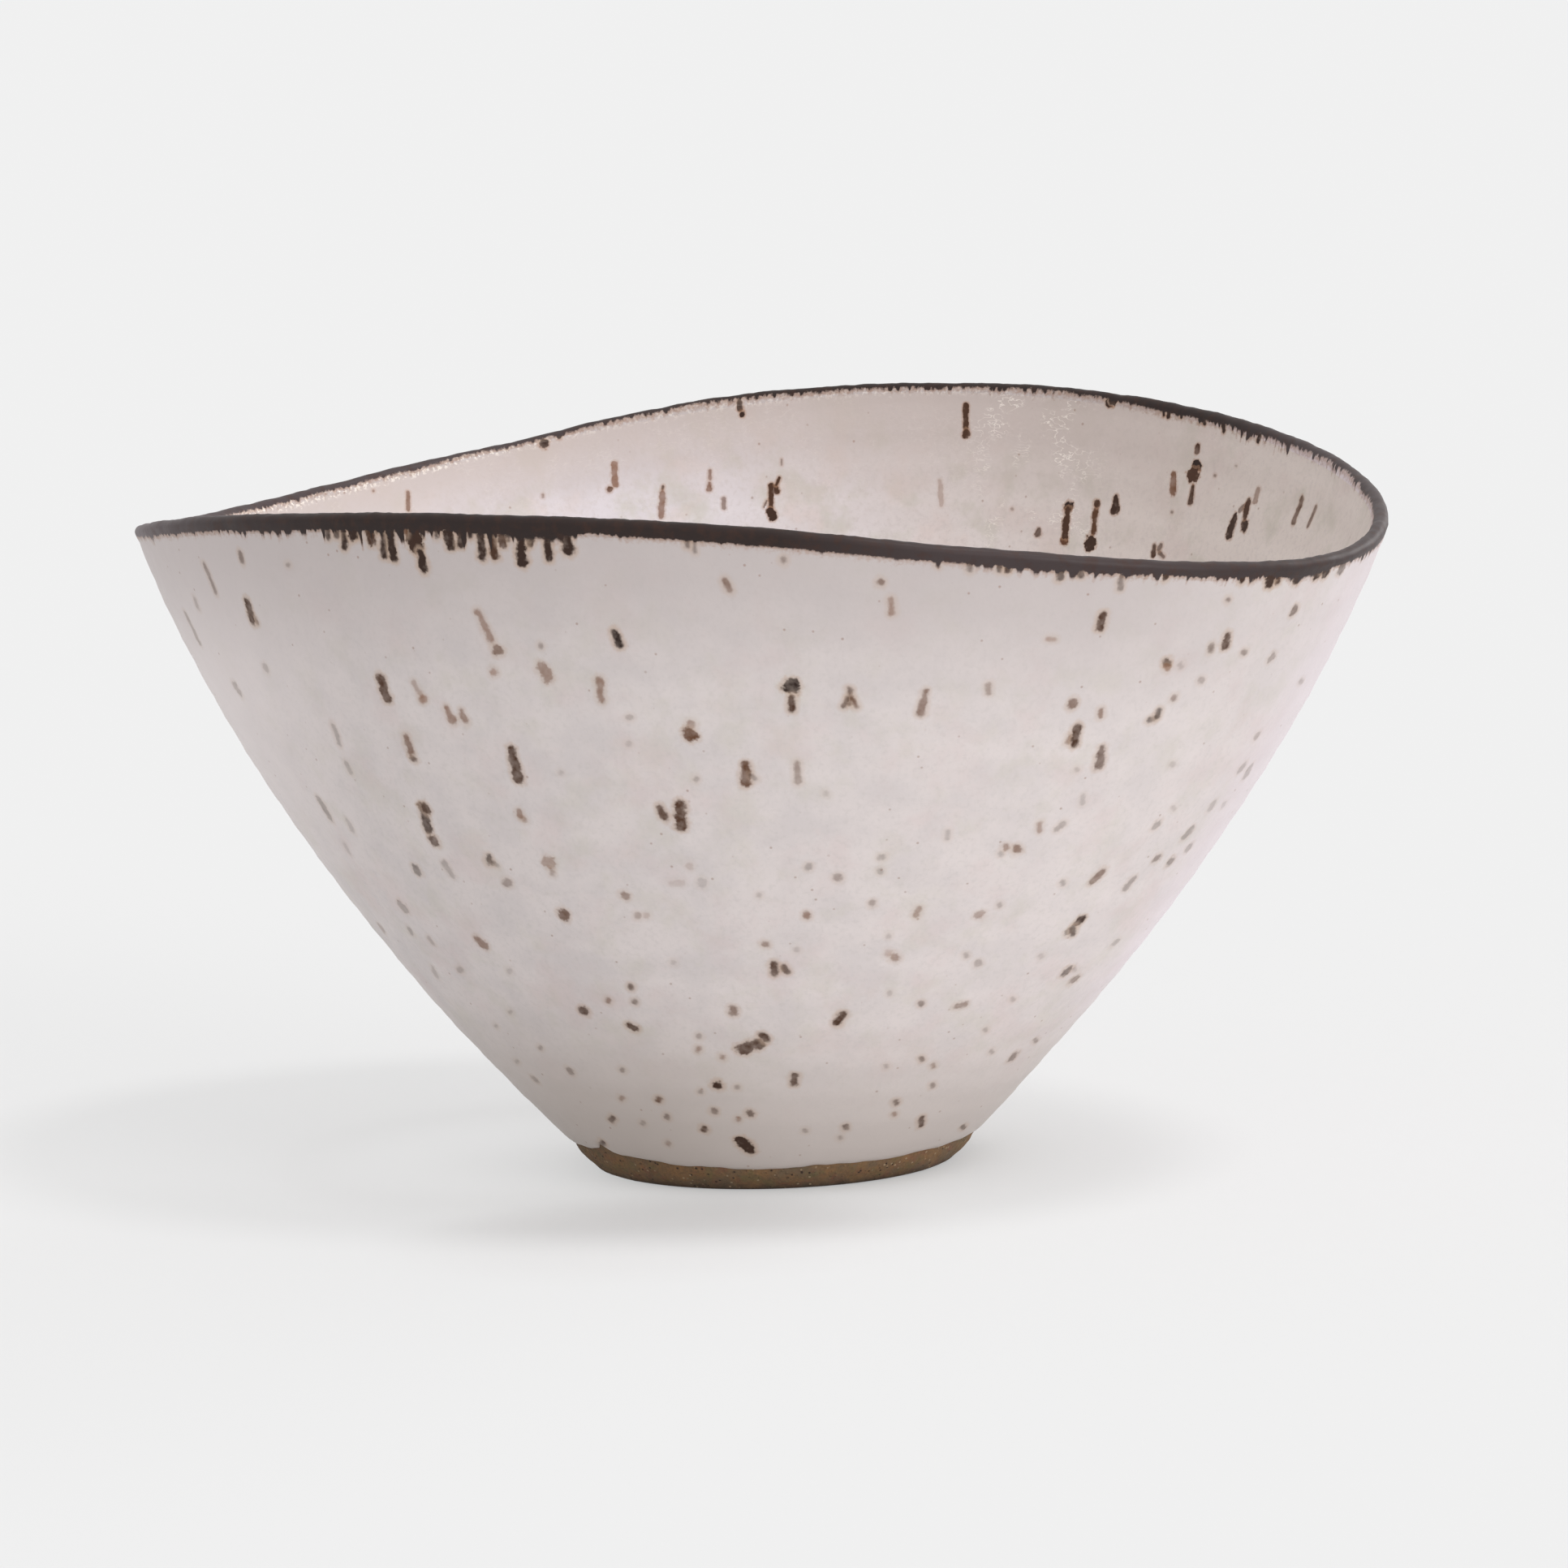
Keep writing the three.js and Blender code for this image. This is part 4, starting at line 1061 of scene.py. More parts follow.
def paint_specks(piece, layers):
    """Stores, on every face near a speck, where its corners lie in that speck's own axes."""
    mesh = piece.data
    faces = mesh.polygons
    corner_face = np.repeat(np.arange(len(faces)), read(faces, "loop_total", int))
    corners = (read(mesh.vertices, "co", width=3) / MM)[read(mesh.loops, "vertex_index", int)]
    normals = read(faces, "normal", width=3)
    middles = read(faces, "center", width=3) / MM
    for name, layer in zip("ab", layers):
        best = np.full(len(faces), np.inf)
        place = np.full(corners.shape, NO_SPECK)
        place[:, 2] = 0.0
        shape = np.ones(corners.shape)
        tan = np.zeros(len(corners))
        for speck in layer:
            away = middles - speck.centre
            across = away @ speck.across / (speck.half_wide + SPECK_MARGIN)
            along = away @ speck.down / (speck.half_long + SPECK_MARGIN)
            score = across ** 2 + along ** 2
            near = (score < SPECK_REACH) & (score < best) & (normals @ speck.normal > SPECK_FACING)
            near &= np.abs(away @ speck.normal) < SPECK_DEPTH
            best[near] = score[near]
            chosen = near[corner_face]
            offset = corners[chosen] - speck.centre
            straight = max(speck.half_long - speck.half_wide, 0.0)
            place[chosen, 0] = offset @ speck.across
            place[chosen, 1] = offset @ speck.down
            place[chosen, 2] = speck.dark
            shape[chosen] = (straight, speck.half_wide, speck.head / speck.half_long)
            tan[chosen] = speck.tan
        store(mesh, "speck_" + name, "CORNER", place)
        store(mesh, "shape_" + name, "CORNER", shape)
        store(mesh, "tan_" + name, "CORNER", tan)


def store_points(piece, name, values, spare):
    """Stores one vector for each point of a ring mesh, and a spare value for the points at its poles."""
    flat = values.reshape(-1, 3)
    missing = len(piece.data.vertices) - len(flat)
    if missing:
        flat = np.concatenate([flat, np.repeat([spare], missing, 0)])
    store(piece.data, name, "POINT", flat)


# Materials. Colours are written as they look, from 0 to 255.


def colour(red, green, blue):
    """A colour as it looks, in the linear values that the shaders take."""
    def linear(value):
        part = value / 255
        return part / 12.92 if part <= 0.04045 else ((part + 0.055) / 1.055) ** 2.4
    return (linear(red), linear(green), linear(blue), 1.0)


class Sketch:
    """Short ways to place nodes in one material."""

    def __init__(self, name):
        self.material = bpy.data.materials.new(name)
        self.material.use_nodes = True
        self.tree = self.material.node_tree
        self.tree.nodes.clear()
        self.output = self.tree.nodes.new("ShaderNodeOutputMaterial")
        self.shader = self.tree.nodes.new("ShaderNodeBsdfPrincipled")
        self.tree.links.new(self.shader.outputs["BSDF"], self.output.inputs["Surface"])

    def put(self, socket, value):
        if isinstance(value, bpy.types.NodeSocket):
            self.tree.links.new(value, socket)
        else:
            socket.default_value = value

    def math(self, operation, *values, clamp=False):
        node = self.tree.nodes.new("ShaderNodeMath")
        node.operation = operation
        node.use_clamp = clamp
        for socket, value in zip(node.inputs, values):
            self.put(socket, value)
        return node.outputs[0]

    def vector(self, operation, *values):
        node = self.tree.nodes.new("ShaderNodeVectorMath")
        node.operation = operation
        for socket, value in zip(node.inputs, values):
            self.put(socket, value)
        return node.outputs["Value" if operation == "DOT_PRODUCT" else "Vector"]

    def times(self, first, second, clamp=False):
        return self.math("MULTIPLY", first, second, clamp=clamp)

    def scaled(self, value, by, plus, clamp=False):
        """value * by + plus."""
        return self.math("MULTIPLY_ADD", value, by, plus, clamp=clamp)

    def toward(self, place, side):
        """How far a place lies toward a side."""
        return self.vector("DOT_PRODUCT", place, side)

    def attribute(self, name, output="Vector"):
        node = self.tree.nodes.new("ShaderNodeAttribute")
        node.attribute_name = name
        return node.outputs[output]

    def number(self, name):
        return self.attribute(name, "Fac")

    def split(self, vector):
        node = self.tree.nodes.new("ShaderNodeSeparateXYZ")
        self.put(node.inputs[0], vector)
        return node.outputs

    def place(self):
        """Object coordinates in millimetres."""
        node = self.tree.nodes.new("ShaderNodeTexCoord")
        return self.vector("MULTIPLY", node.outputs["Object"], (1000.0, 1000.0, 1000.0))

    def noise(self, vector, size, detail=2.0, roughness=0.5):
        """Noise from 0 to 1 with lumps of a size in millimetres."""
        node = self.tree.nodes.new("ShaderNodeTexNoise")
        self.put(node.inputs["Vector"], vector)
        node.inputs["Scale"].default_value = 1 / size
        node.inputs["Detail"].default_value = detail
        node.inputs["Roughness"].default_value = roughness
        return node.outputs["Fac"]

    def cells(self, vector, size):
        """Distance to the nearest cell's point, in cells, and the cell's random colour."""
        node = self.tree.nodes.new("ShaderNodeTexVoronoi")
        self.put(node.inputs["Vector"], vector)
        node.inputs["Scale"].default_value = 1 / size
        return node.outputs["Distance"], node.outputs["Color"]

    def step(self, value, low, high):
        """0 below low, 1 above high, smooth between. low may be the larger."""
        node = self.tree.nodes.new("ShaderNodeMapRange")
        node.interpolation_type = "SMOOTHSTEP"
        self.put(node.inputs["Value"], value)
        node.inputs["From Min"].default_value = min(low, high)
        node.inputs["From Max"].default_value = max(low, high)
        node.inputs["To Min"].default_value = 0.0 if low < high else 1.0
        node.inputs["To Max"].default_value = 1.0 if low < high else 0.0
        return node.outputs["Result"]

    def within(self, value, start, full, fading, end):
        """1 from full to fading, and 0 before start and past end."""
        return self.times(self.step(value, start, full), self.step(value, end, fading))

    def patches(self, place, size, shift, detail, low, high):
        """Patches of a size in millimetres. A shift of its own makes them unlike the others."""
        moved = self.vector("ADD", place, (shift, shift, shift))
        return self.step(self.noise(moved, size, detail=detail, roughness=0.6), low, high)

    def mix(self, share, first, second):
        node = self.tree.nodes.new("ShaderNodeMix")
        node.data_type = "RGBA"
        self.put(node.inputs["Factor"], share)
        colours = [socket for socket in node.inputs if socket.type == "RGBA"]
        self.put(colours[0], first)
        self.put(colours[1], second)
        return next(socket for socket in node.outputs if socket.type == "RGBA")

    def tint(self, base, tint, share, amount):
        """Lays a tint over a base by an amount, where the share is 1."""
        return self.mix(self.times(share, amount), base, tint)

    def bump(self, height, depth):
        """A bump of a depth in millimetres where height goes from 0 to 1."""
        node = self.tree.nodes.new("ShaderNodeBump")
        self.put(node.inputs["Height"], height)
        node.inputs["Strength"].default_value = 1.0
        node.inputs["Distance"].default_value = depth * MM
        self.tree.links.new(node.outputs["Normal"], self.shader.inputs["Normal"])

    def finish(self, **sockets):
        for name, value in sockets.items():
            self.put(self.shader.inputs[name.replace("_", " ")], value)
        return self.material


# Painted highlight: the white of the glitter and the glints
GLINT_WHITE = colour(246, 238, 230)
# Painted shade, low on the outside next to the floor
LOW_SHADE_TINT = colour(194, 183, 175)
# Painted edge light at the outside's left and right edges
LEFT_EDGE_LIGHT = colour(242, 232, 231)
RIGHT_EDGE_LIGHT = colour(238, 226, 234)
SPECK_TAN = colour(138, 92, 62)
SPECK_DARK = colour(47, 33, 28)
BAND_DARK = colour(50, 40, 38)
BAND_BROWN = colour(72, 48, 38)
BAND_PALE = colour(106, 94, 96)
CLAY_GREY = colour(112, 94, 74)
CLAY_WARM = colour(134, 102, 70)
CLAY_MOSS = colour(106, 98, 66)
CLAY_RUST = colour(124, 84, 66)
CLAY_GROUND_DARK = colour(60, 48, 42)
CLAY_GRAIN = colour(92, 76, 60)
GRIT_PALE = colour(164, 142, 114)
GRIT_DARK = colour(56, 42, 34)

# Level directions: to the camera's right, and away from the camera
CAMERA_RIGHT = (math.cos(math.radians(CAMERA_AZIMUTH)), math.sin(math.radians(CAMERA_AZIMUTH)), 0.0)
FAR_SIDE = (-CAMERA_RIGHT[1], CAMERA_RIGHT[0], 0.0)

# What differs between the glaze outside and inside: its colours, how soft and how dark its specks are, and
# how much it has of the lighter, warmer tint toward the camera's right, patches, grain, darker tone at the
# bottom, shade at the rim, painted shade low down and painted glitter highlights, and whether it has
# painted glints
Look = namedtuple("Look", (
    "clear cloudy grain low rim flushed moss blush fringe halo "
    "soft ink flush patches grainy pooled rim_shade stain threads glints"
))
OUTER_LOOK = Look(
    clear=colour(224, 215, 213), cloudy=colour(214, 206, 205), grain=colour(198, 191, 188),
    low=colour(207, 198, 194), rim=colour(191, 181, 179), flushed=colour(230, 220, 218),
    moss=colour(206, 200, 188), blush=colour(216, 198, 196), fringe=colour(176, 148, 134),
    halo=colour(190, 164, 144), soft=1.25, ink=0.9, flush=0.3, patches=0.38, grainy=0.3,
    pooled=1.0, rim_shade=0.15, stain=0.65, threads=0.0, glints=False,
)
INNER_LOOK = Look(
    clear=colour(225, 219, 225), cloudy=colour(215, 209, 214), grain=colour(200, 190, 186),
    low=colour(210, 204, 199), rim=colour(197, 184, 178), flushed=colour(233, 222, 212),
    moss=colour(197, 193, 177), blush=colour(223, 206, 200), fringe=colour(150, 110, 82),
    halo=colour(174, 134, 106), soft=0.6, ink=1.0, flush=0.85, patches=0.55, grainy=0.4,
    pooled=0.5, rim_shade=0.35, stain=0.0, threads=0.85, glints=True,
)
RIM_LOOK = OUTER_LOOK._replace(soft=INNER_LOOK.soft, fringe=INNER_LOOK.fringe, glints=True)

# Where the glaze changes, from where a change sets in to where it is full. Heights are in millimetres below
# the rim, and sides in millimetres toward the camera's right.
LOWER_TONE_HEIGHTS = (92.0, 128.0)
RIGHT_TINT_SIDES = (-45.0, 95.0)
RIM_SHADE_SIDES = (96.0, 52.0)
RIM_SHADE_HEIGHTS = (34.0, 2.0)
# Painted shade low on the outside, more toward the left
LOW_SHADE_HEIGHTS = (82.0, 122.0)
LOW_SHADE_SIDES = (8.0, -24.0)
# Painted edge light at the outside's left and right edges
LEFT_EDGE_LIGHT_SIDES = (-64.0, -94.0)
RIGHT_EDGE_LIGHT_HEIGHTS = (106.0, 82.0)
RIGHT_EDGE_LIGHT_COSINES = (0.8, 0.95)
UPPER_SHADE_HEIGHTS = (110.0, 20.0)
LEFT_SHADE_HEIGHTS = (21.0, 2.0)
LEFT_SHADE_SIDES = (30.0, -30.0)
RIGHT_SHADE_SIDES = (-30.0, 30.0)
DEEP_HEIGHTS = (14.0, 34.0)
DEEP_SIDES = (20.0, 60.0)

# The same for the painted glitter highlights and glints of the far wall, where each also fades again
GLITTER_SIDES = (36.0, 45.0, 54.0, 62.0)
GLINT_SIDES = (-100.0, -90.0, -50.0, -30.0)
FAINT_GLINT_SIDES = (-102.0, -94.0, 44.0, 58.0)
GLINT_PAST_BAND = (-1.9, -0.5)
GLINT_DISTANCES = (0.0, 20.0)

# A speck's soft edge and darker middle, in millimetres for a softness of 1, and how strong they are
HALO_REACH = 0.85
HALO_STRENGTH = 0.6
CORE_REACH = 0.2
CORE_DEPTH = 0.28
TAN_INK = 0.3


def speck_marks(sketch, base, name, look, wobble, depth):
    """Puts one layer of specks over a colour: a soft warm edge and a darker middle."""
    across, along, dark = sketch.split(sketch.attribute("speck_" + name))[:3]
    straight, half_wide, head = sketch.split(sketch.attribute("shape_" + name))[:3]
    past = sketch.math("MAXIMUM", sketch.math("SUBTRACT", sketch.math("ABSOLUTE", along), straight), 0.0)
    squares = sketch.scaled(across, across, sketch.times(past, past))
    swell = sketch.math("ADD", sketch.scaled(along, head, plus=1.0), wobble)
    edge = sketch.math("SUBTRACT", sketch.math("SQRT", squares), sketch.times(half_wide, swell))
    halo = sketch.step(edge, HALO_REACH * look.soft, 0.0)
    halo = sketch.times(halo, sketch.times(dark, HALO_STRENGTH))
    tan = sketch.number("tan_" + name)
    ink = sketch.times(dark, sketch.scaled(tan, TAN_INK, look.ink))
    core = sketch.step(edge, CORE_REACH * look.soft, -CORE_DEPTH * look.soft)
    core = sketch.times(core, sketch.times(ink, depth), clamp=True)
    tint = sketch.mix(tan, SPECK_DARK, SPECK_TAN)
    return sketch.mix(core, sketch.mix(halo, base, look.halo), tint)


def cloudy_glaze(sketch, look, place, side):
    """The glaze's own colour, cloudy, patchy and grainy, with a lighter, warmer tint toward the camera's
    right.
    """
    mottle = sketch.noise(place, size=9.0, detail=5.0, roughness=0.62)
    base = sketch.mix(sketch.step(mottle, 0.35, 0.68), look.clear, look.cloudy)
    drift = sketch.scaled(sketch.noise(place, size=38.0), by=60.0, plus=-30.0)
    flush = sketch.step(sketch.math("ADD", side, drift), *RIGHT_TINT_SIDES)
    base = sketch.tint(base, look.flushed, flush, look.flush)
    for tint, size, shift in ((look.moss, 8.0, 40.0), (look.blush, 11.0, 90.0)):
        patch = sketch.patches(place, size, shift, detail=4.0, low=0.48, high=0.7)
        base = sketch.tint(base, tint, patch, look.patches)
    grain = sketch.step(sketch.noise(place, size=0.9, detail=3.0, roughness=0.6), 0.45, 0.75)
    return sketch.tint(base, look.grain, grain, look.grainy)


def outer_tones(sketch, look, base, place, side, below):
    """Outside: painted shade low down, painted edge light at both sides, the shade by the rim and a slow
    one up the wall.
    """
    # Painted shade low on the outside, stronger toward the left
    low_left_shade = sketch.scaled(sketch.step(side, *LOW_SHADE_SIDES), by=0.6, plus=0.4)
    low_left_shade = sketch.times(low_left_shade, sketch.step(below, *LOW_SHADE_HEIGHTS))
    base = sketch.tint(base, LOW_SHADE_TINT, low_left_shade, look.stain)
    # Painted edge light on the left and right edges of the outside
    base = sketch.tint(base, LEFT_EDGE_LIGHT, sketch.step(side, *LEFT_EDGE_LIGHT_SIDES), amount=0.7)
    level = sketch.vector("NORMALIZE", sketch.vector("MULTIPLY", place, (1.0, 1.0, 0.0)))
    edge_light = sketch.step(sketch.toward(level, CAMERA_RIGHT), *RIGHT_EDGE_LIGHT_COSINES)
    edge_light = sketch.times(edge_light, sketch.step(below, *RIGHT_EDGE_LIGHT_HEIGHTS))
    base = sketch.tint(base, RIGHT_EDGE_LIGHT, edge_light, amount=0.6)
    shade = sketch.step(below, *RIM_SHADE_HEIGHTS)
    return base, shade, sketch.times(sketch.step(below, *UPPER_SHADE_HEIGHTS), 0.16)


def inner_shades(sketch, side, below):
    """Inside: the shade by the rim, which reaches further down toward the camera's right, and one below it
    there.
    """
    left = sketch.times(sketch.step(below, *LEFT_SHADE_HEIGHTS), sketch.step(side, *LEFT_SHADE_SIDES))
    right = sketch.times(sketch.step(below, *RIM_SHADE_HEIGHTS), sketch.step(side, *RIGHT_SHADE_SIDES))
    deep = sketch.times(sketch.step(below, *DEEP_HEIGHTS), sketch.step(side, *DEEP_SIDES))
    return sketch.math("ADD", left, right), sketch.times(deep, 0.2)


def glaze_colour(sketch, look, place, below):
    """The glaze before its dust and specks, as it changes down the wall and toward one side."""
    side = sketch.toward(place, CAMERA_RIGHT)
    base = cloudy_glaze(sketch, look, place, side)
    # Darker toward the bottom
    base = sketch.tint(base, look.low, sketch.step(below, *LOWER_TONE_HEIGHTS), look.pooled)
    if look.stain:
        base, shade, deep = outer_tones(sketch, look, base, place, side, below)
    else:
        shade, deep = inner_shades(sketch, side, below)
    near_rim = sketch.scaled(sketch.step(side, *RIM_SHADE_SIDES), by=0.5, plus=look.rim_shade)
    return sketch.mix(sketch.scaled(shade, near_rim, deep), base, look.rim)


def dusted(sketch, base, place):
    """Fine tan dust."""
    dust, dust_colour = sketch.cells(place, size=2.1)
    some = sketch.step(sketch.split(dust_colour)[0], 0.80, 0.84)
    mark = sketch.times(sketch.step(dust, 0.16, 0.05), some)
    return sketch.tint(base, SPECK_TAN, mark, amount=0.45)


def painted_glitter(sketch, look, base, place, address):
    """Painted glitter highlights in thin wavy threads, thickest in one patch of the far wall."""
    flat = sketch.vector("MULTIPLY", address, (1.0, 1.0, 2.2))
    level = sketch.math("ABSOLUTE", sketch.math("SUBTRACT", sketch.noise(flat, size=2.1), 0.5))
    patches = sketch.step(sketch.noise(place, size=7.0), 0.46, 0.6)
    region = sketch.within(sketch.toward(place, CAMERA_RIGHT), *GLITTER_SIDES)
    amount = sketch.times(patches, sketch.scaled(region, by=0.88, plus=0.12))
    amount = sketch.times(amount, sketch.step(level, 0.03, 0.004))
    return sketch.tint(base, GLINT_WHITE, amount, look.threads)


def past_band_edge(sketch, place, address, edge, teeth, below):
    """How far a point lies inside the ragged edge of the dark band, in millimetres."""
    along_rim = sketch.vector("MULTIPLY", address, (1.0, 1.0, 0.12))
    spikes = sketch.step(sketch.noise(along_rim, size=1.1, detail=1.0), 0.42, 0.78)
    longer = sketch.step(sketch.noise(along_rim, size=4.5), 0.35, 0.7)
    spikes = sketch.times(spikes, sketch.scaled(longer, by=1.9, plus=0.7))
    slow = sketch.scaled(sketch.noise(along_rim, size=7.0), by=1.2, plus=-0.75)
    crumbs = sketch.scaled(sketch.noise(place, size=0.5, roughness=0.6), by=0.7, plus=-0.35)
    reach = sketch.scaled(teeth, sketch.math("ADD", spikes, slow), crumbs)
    return sketch.math("SUBTRACT", sketch.math("ADD", edge, reach), below)


def glinting(sketch, base, place, over):
    """Painted glints of light: bright flecks by the band on the far side."""
    fleck = sketch.step(sketch.noise(place, size=0.6, detail=1.0), 0.52, 0.6)
    glint = sketch.times(sketch.step(over, *GLINT_PAST_BAND), fleck)
    glint = sketch.times(glint, sketch.step(sketch.toward(place, FAR_SIDE), *GLINT_DISTANCES))
    side = sketch.toward(place, CAMERA_RIGHT)
    bright = sketch.times(sketch.within(side, *GLINT_SIDES), 0.6)
    amount = sketch.scaled(sketch.within(side, *FAINT_GLINT_SIDES), by=0.4, plus=bright)
    return sketch.tint(base, GLINT_WHITE, glint, amount)


def speckled(sketch, look, base, place):
    """Both layers of specks, with ragged outlines and uneven ink."""
    ragged = sketch.scaled(sketch.noise(place, size=1.5, roughness=0.6), by=1.6, plus=-0.75)
    wobble = sketch.scaled(sketch.noise(place, size=0.5), by=0.6, plus=ragged)
    wobble = sketch.math("SUBTRACT", wobble, 0.3)
    depth = sketch.scaled(sketch.noise(place, size=1.3), by=0.8, plus=0.65)
    for name in "ab":
        base = speck_marks(sketch, base, name, look, wobble, depth)
    return base


def glaze_material(name, look):
    sketch = Sketch(name)
    place = sketch.place()
    address = sketch.attribute("rim_at")
    below = sketch.split(address)[2]
    edge, teeth, pale = sketch.split(sketch.attribute("band_at"))[:3]
    over = past_band_edge(sketch, place, address, edge, teeth, below)

    base = dusted(sketch, glaze_colour(sketch, look, place, below), place)
    if look.threads:
        base = painted_glitter(sketch, look, base, place, address)
    if look.glints:
        base = glinting(sketch, base, place, over)
    spread = sketch.scaled(sketch.noise(place, size=0.8, roughness=0.7), by=2.4, plus=-1.2)
    fringe = sketch.step(sketch.math("ADD", over, spread), -1.2, 0.1)
    base = sketch.tint(base, look.fringe, fringe, amount=0.6)
    base = speckled(sketch, look, base, place)

    brown = sketch.step(sketch.noise(place, size=1.8, detail=3.0, roughness=0.6), 0.45, 0.7)
    band = sketch.tint(sketch.mix(pale, BAND_DARK, BAND_PALE), BAND_BROWN, brown, amount=0.4)
    base = sketch.mix(sketch.step(over, -0.3 * look.soft, 0.3 * look.soft), base, band)

    orange_peel = sketch.noise(place, size=2.6)
    pits = sketch.times(sketch.noise(place, size=0.55), 0.3)
    sketch.bump(sketch.math("ADD", pits, orange_peel), depth=0.05)
    gloss = sketch.scaled(orange_peel, by=0.2, plus=0.36)
    return sketch.finish(Base_Color=base, Roughness=gloss, Specular_IOR_Level=0.16)


def clay_material():
    """Bare clay: warm and grey, darker at the ground, with fine grain and loose grit."""
    sketch = Sketch("bare_clay")
    place = sketch.place()
    warm = sketch.noise(place, size=5.0, detail=4.0, roughness=0.6)
    base = sketch.mix(sketch.step(warm, 0.35, 0.65), CLAY_GREY, CLAY_WARM)
    for tint, size, shift in ((CLAY_MOSS, 3.4, 20.0), (CLAY_RUST, 2.6, 60.0)):
        patch = sketch.patches(place, size, shift, detail=3.0, low=0.5, high=0.68)
        base = sketch.tint(base, tint, patch, amount=0.6)
    ragged = sketch.scaled(sketch.noise(place, size=1.6), by=1.6, plus=-0.8)
    low = sketch.step(sketch.math("ADD", sketch.split(place)[2], ragged), 1.5, 0.2)
    base = sketch.tint(base, CLAY_GROUND_DARK, low, amount=0.75)
    fine = sketch.noise(place, size=0.6, detail=3.0, roughness=0.7)
    base = sketch.tint(base, CLAY_GRAIN, sketch.step(fine, 0.4, 0.7), amount=0.5)
    grit, grit_colour = sketch.cells(place, size=0.75)
    red, green = sketch.split(grit_colour)[:2]
    spot = sketch.step(grit, 0.38, 0.18)
    base = sketch.tint(base, GRIT_PALE, spot, sketch.step(red, 0.82, 0.88))
    base = sketch.tint(base, GRIT_DARK, spot, sketch.step(green, 0.80, 0.85))
    sketch.bump(sketch.math("ADD", fine, sketch.times(spot, 0.5)), depth=0.12)
    return sketch.finish(Base_Color=base, Roughness=0.85, Specular_IOR_Level=0.3)


# The studio: a pale floor without end, soft light from all round and three lamps. The floor is seen as a
# mix of its own shading and the flat background. FLOOR_EVENNESS is the background's share in the open. Of
# that, CONTACT_SHARE goes close to the bowl, within CONTACT_REACH metres. Two ovals have more or less.

BACKGROUND = colour(240, 240, 240)
FLOOR_HALF = 14.0
FLOOR_COLOUR = (0.778, 0.778, 0.778, 1.0)
FLOOR_EVENNESS = 0.62
CONTACT_SHARE = 0.4
CONTACT_REACH = 0.042
LIT_EVENNESS = 0.2
DIM_EVENNESS = -0.38
AMBIENT = 0.731


def seen_directly(tree):
    """1 for what the camera sees, by itself or in a gloss or through a clear material, and 0 for light."""
    path = tree.nodes.new("ShaderNodeLightPath")
    last = path.outputs["Is Camera Ray"]
    for name in ("Is Glossy Ray", "Is Transmission Ray"):
        either = tree.nodes.new("ShaderNodeMath")
        either.operation = "MAXIMUM"
        tree.links.new(last, either.inputs[0])
        tree.links.new(path.outputs[name], either.inputs[1])
        last = either.outputs[0]
    return last


def mix_shaders(tree, share, first, second, output):
    mix = tree.nodes.new("ShaderNodeMixShader")
    tree.links.new(share, mix.inputs["Fac"])
    tree.links.new(first, mix.inputs[1])
    tree.links.new(second, mix.inputs[2])
    tree.links.new(mix.outputs[0], output.inputs["Surface"])


def shadow_patch(sketch, place, right, front, half_wide, half_deep):
    """1 in the middle of an oval of the floor and 0 past its edge."""
    across = sketch.math("SUBTRACT", sketch.toward(place, CAMERA_RIGHT), right)
    along = sketch.math("ADD", sketch.toward(place, FAR_SIDE), front)
    across = sketch.math("DIVIDE", across, half_wide)
    along = sketch.math("DIVIDE", along, half_deep)
    squares = sketch.scaled(across, across, sketch.times(along, along))
    return sketch.step(squares, 1.0, 0.0)


def make_floor():
    mesh = bpy.data.meshes.new("floor")
    corners = [(x * FLOOR_HALF, y * FLOOR_HALF, 0) for x, y in ((-1, -1), (1, -1), (1, 1), (-1, 1))]
    mesh.from_pydata(corners, [], [(0, 1, 2, 3)])
    floor = add_object("floor", mesh)
    sketch = Sketch("floor")
    paint = sketch.finish(Base_Color=FLOOR_COLOUR, Roughness=0.9, Specular_IOR_Level=0.0)
    floor.data.materials.append(paint)
    glow = sketch.tree.nodes.new("ShaderNodeEmission")
    glow.inputs["Color"].default_value = BACKGROUND
    contact = sketch.tree.nodes.new("ShaderNodeAmbientOcclusion")
    contact.inputs["Distance"].default_value = CONTACT_REACH
    open_share = CONTACT_SHARE * FLOOR_EVENNESS
    even = sketch.scaled(contact.outputs["AO"], open_share, FLOOR_EVENNESS - open_share)
    place = sketch.place()
    lit = shadow_patch(sketch, place, right=-40.0, front=-10.0, half_wide=45.0, half_deep=50.0)
    dim = shadow_patch(sketch, place, right=-18.0, front=72.0, half_wide=52.0, half_deep=43.0)
    even = sketch.scaled(lit, LIT_EVENNESS, even)
    even = sketch.scaled(dim, DIM_EVENNESS, even, clamp=True)
    share = sketch.times(seen_directly(sketch.tree), even)
    mix_shaders(sketch.tree, share, sketch.shader.outputs[0], glow.outputs[0], sketch.output)


def make_world():
    world = bpy.data.worlds.new("studio")
    bpy.context.scene.world = world
    world.use_nodes = True
    tree = world.node_tree
    tree.nodes.clear()
    output = tree.nodes.new("ShaderNodeOutputWorld")
    light = tree.nodes.new("ShaderNodeBackground")
    light.inputs["Color"].default_value = (1.0, 1.0, 1.0, 1.0)
    light.inputs["Strength"].default_value = AMBIENT
    seen = tree.nodes.new("ShaderNodeBackground")
    seen.inputs["Color"].default_value = BACKGROUND
    mix_shaders(tree, seen_directly(tree), light.outputs[0], seen.outputs[0], output)


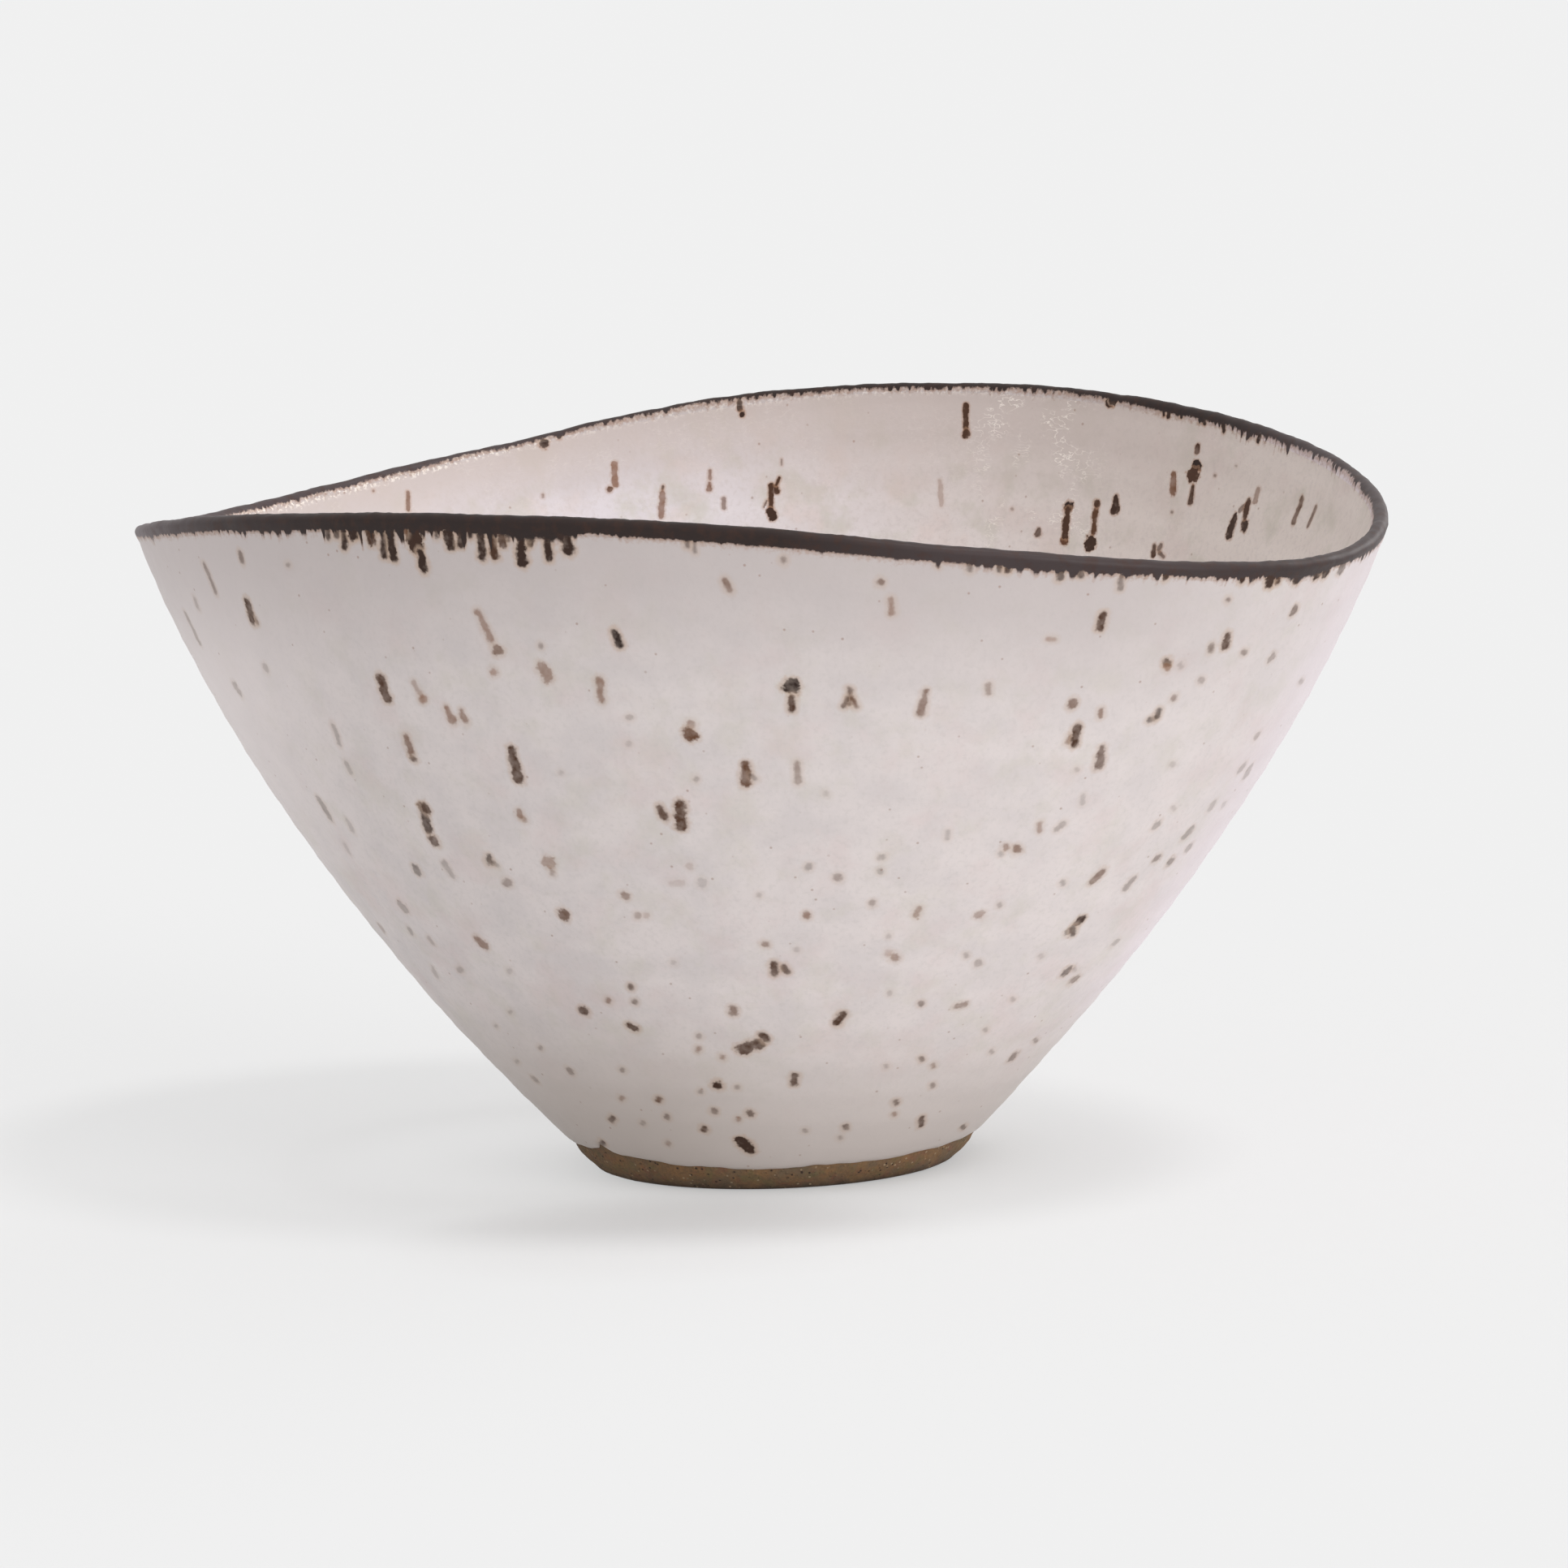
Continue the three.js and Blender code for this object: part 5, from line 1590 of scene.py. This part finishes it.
def make_sun(name, right, front, height, strength, angle):
    """A soft far lamp, placed by how far it stands to the camera's right, front and up."""
    level = Vector(CAMERA_RIGHT) * right - Vector(FAR_SIDE) * front
    toward = (level + Vector((0.0, 0.0, height))).normalized()
    lamp = bpy.data.lights.new(name, "SUN")
    lamp.energy = strength
    lamp.angle = math.radians(angle)
    sun = add_object(name, lamp)
    sun.rotation_mode = "QUATERNION"
    sun.rotation_quaternion = toward.to_track_quat("Z", "Y")


# What the points at the middle of the floor get: an address far below the rim, and a plain band edge
POLE_ADDRESS = (0.0, 0.0, 150.0)
POLE_FACTS = (1.0, 0.0, 0.0)


def make_glaze_piece(name, node, slot, rings, address, facts, layers, material, poles=(None, None)):
    piece = ring_mesh(name, rings, *poles)
    store_points(piece, "rim_at", address, POLE_ADDRESS)
    store_points(piece, "band_at", facts, POLE_FACTS)
    paint_specks(piece, layers)
    piece.data.materials.append(material)
    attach(piece, "root")
    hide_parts(node)


def make_bowl():
    outer = outer_coat()
    inner = inner_coat()
    rim = rim_coat()
    outside_rows = outer[0][:-HIDDEN_ROWS]
    inside_rows = inner[0][-(WALL_ROWS + WELL_ROWS - 1):]
    rim_own = rim[0][: len(rim[0]) // 2]
    tree = bowl_tree(np.concatenate([outside_rows, rim_own[1:], inside_rows[1:]]))
    shown = DRIPS + UPPER_SPECKS + MIDDLE_SPECKS + LOWER_SPECKS + INSIDE_SPECKS
    layers = speck_layers(photographed(shown, tree) + unseen(tree))

    outer_glaze = glaze_material("outer_glaze", OUTER_LOOK)
    inner_glaze = glaze_material("inner_glaze", INNER_LOOK)
    rim_glaze = glaze_material("rim_oxide", RIM_LOOK)
    make_glaze_piece("outer_glaze_coat", "outer_glaze", "outer_glaze", *outer, layers, outer_glaze)
    poles = (on_axis(FLOOR_HEIGHT - GLAZE), on_axis(FLOOR_HEIGHT))
    make_glaze_piece("inner_glaze_coat", "inner_glaze", "inner_glaze", *inner, layers, inner_glaze, poles)
    make_glaze_piece("rim_band_coat", "rim_band", "rim_oxide", *rim, layers, rim_glaze)

    recess_top = on_axis(RECESS_DEPTH + RECESS_DOME)
    clay = ring_mesh("clay_body", clay_body(), recess_top, on_axis(FLOOR_HEIGHT - GLAZE))
    clay.data.materials.append(clay_material())
    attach(clay, "root")
    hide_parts("stoneware_body")


make_camera()
make_world()
make_floor()
make_sun("key", right=0.296, front=0.171, height=0.940, strength=0.767, angle=12.0)
make_sun("front", right=0.6725, front=0.6725, height=0.309, strength=1.122, angle=28.0)
make_sun("back", right=0.6725, front=-0.6725, height=0.309, strength=0.578, angle=28.0)
make_bowl()
bpy.context.scene.view_settings.view_transform = "Standard"
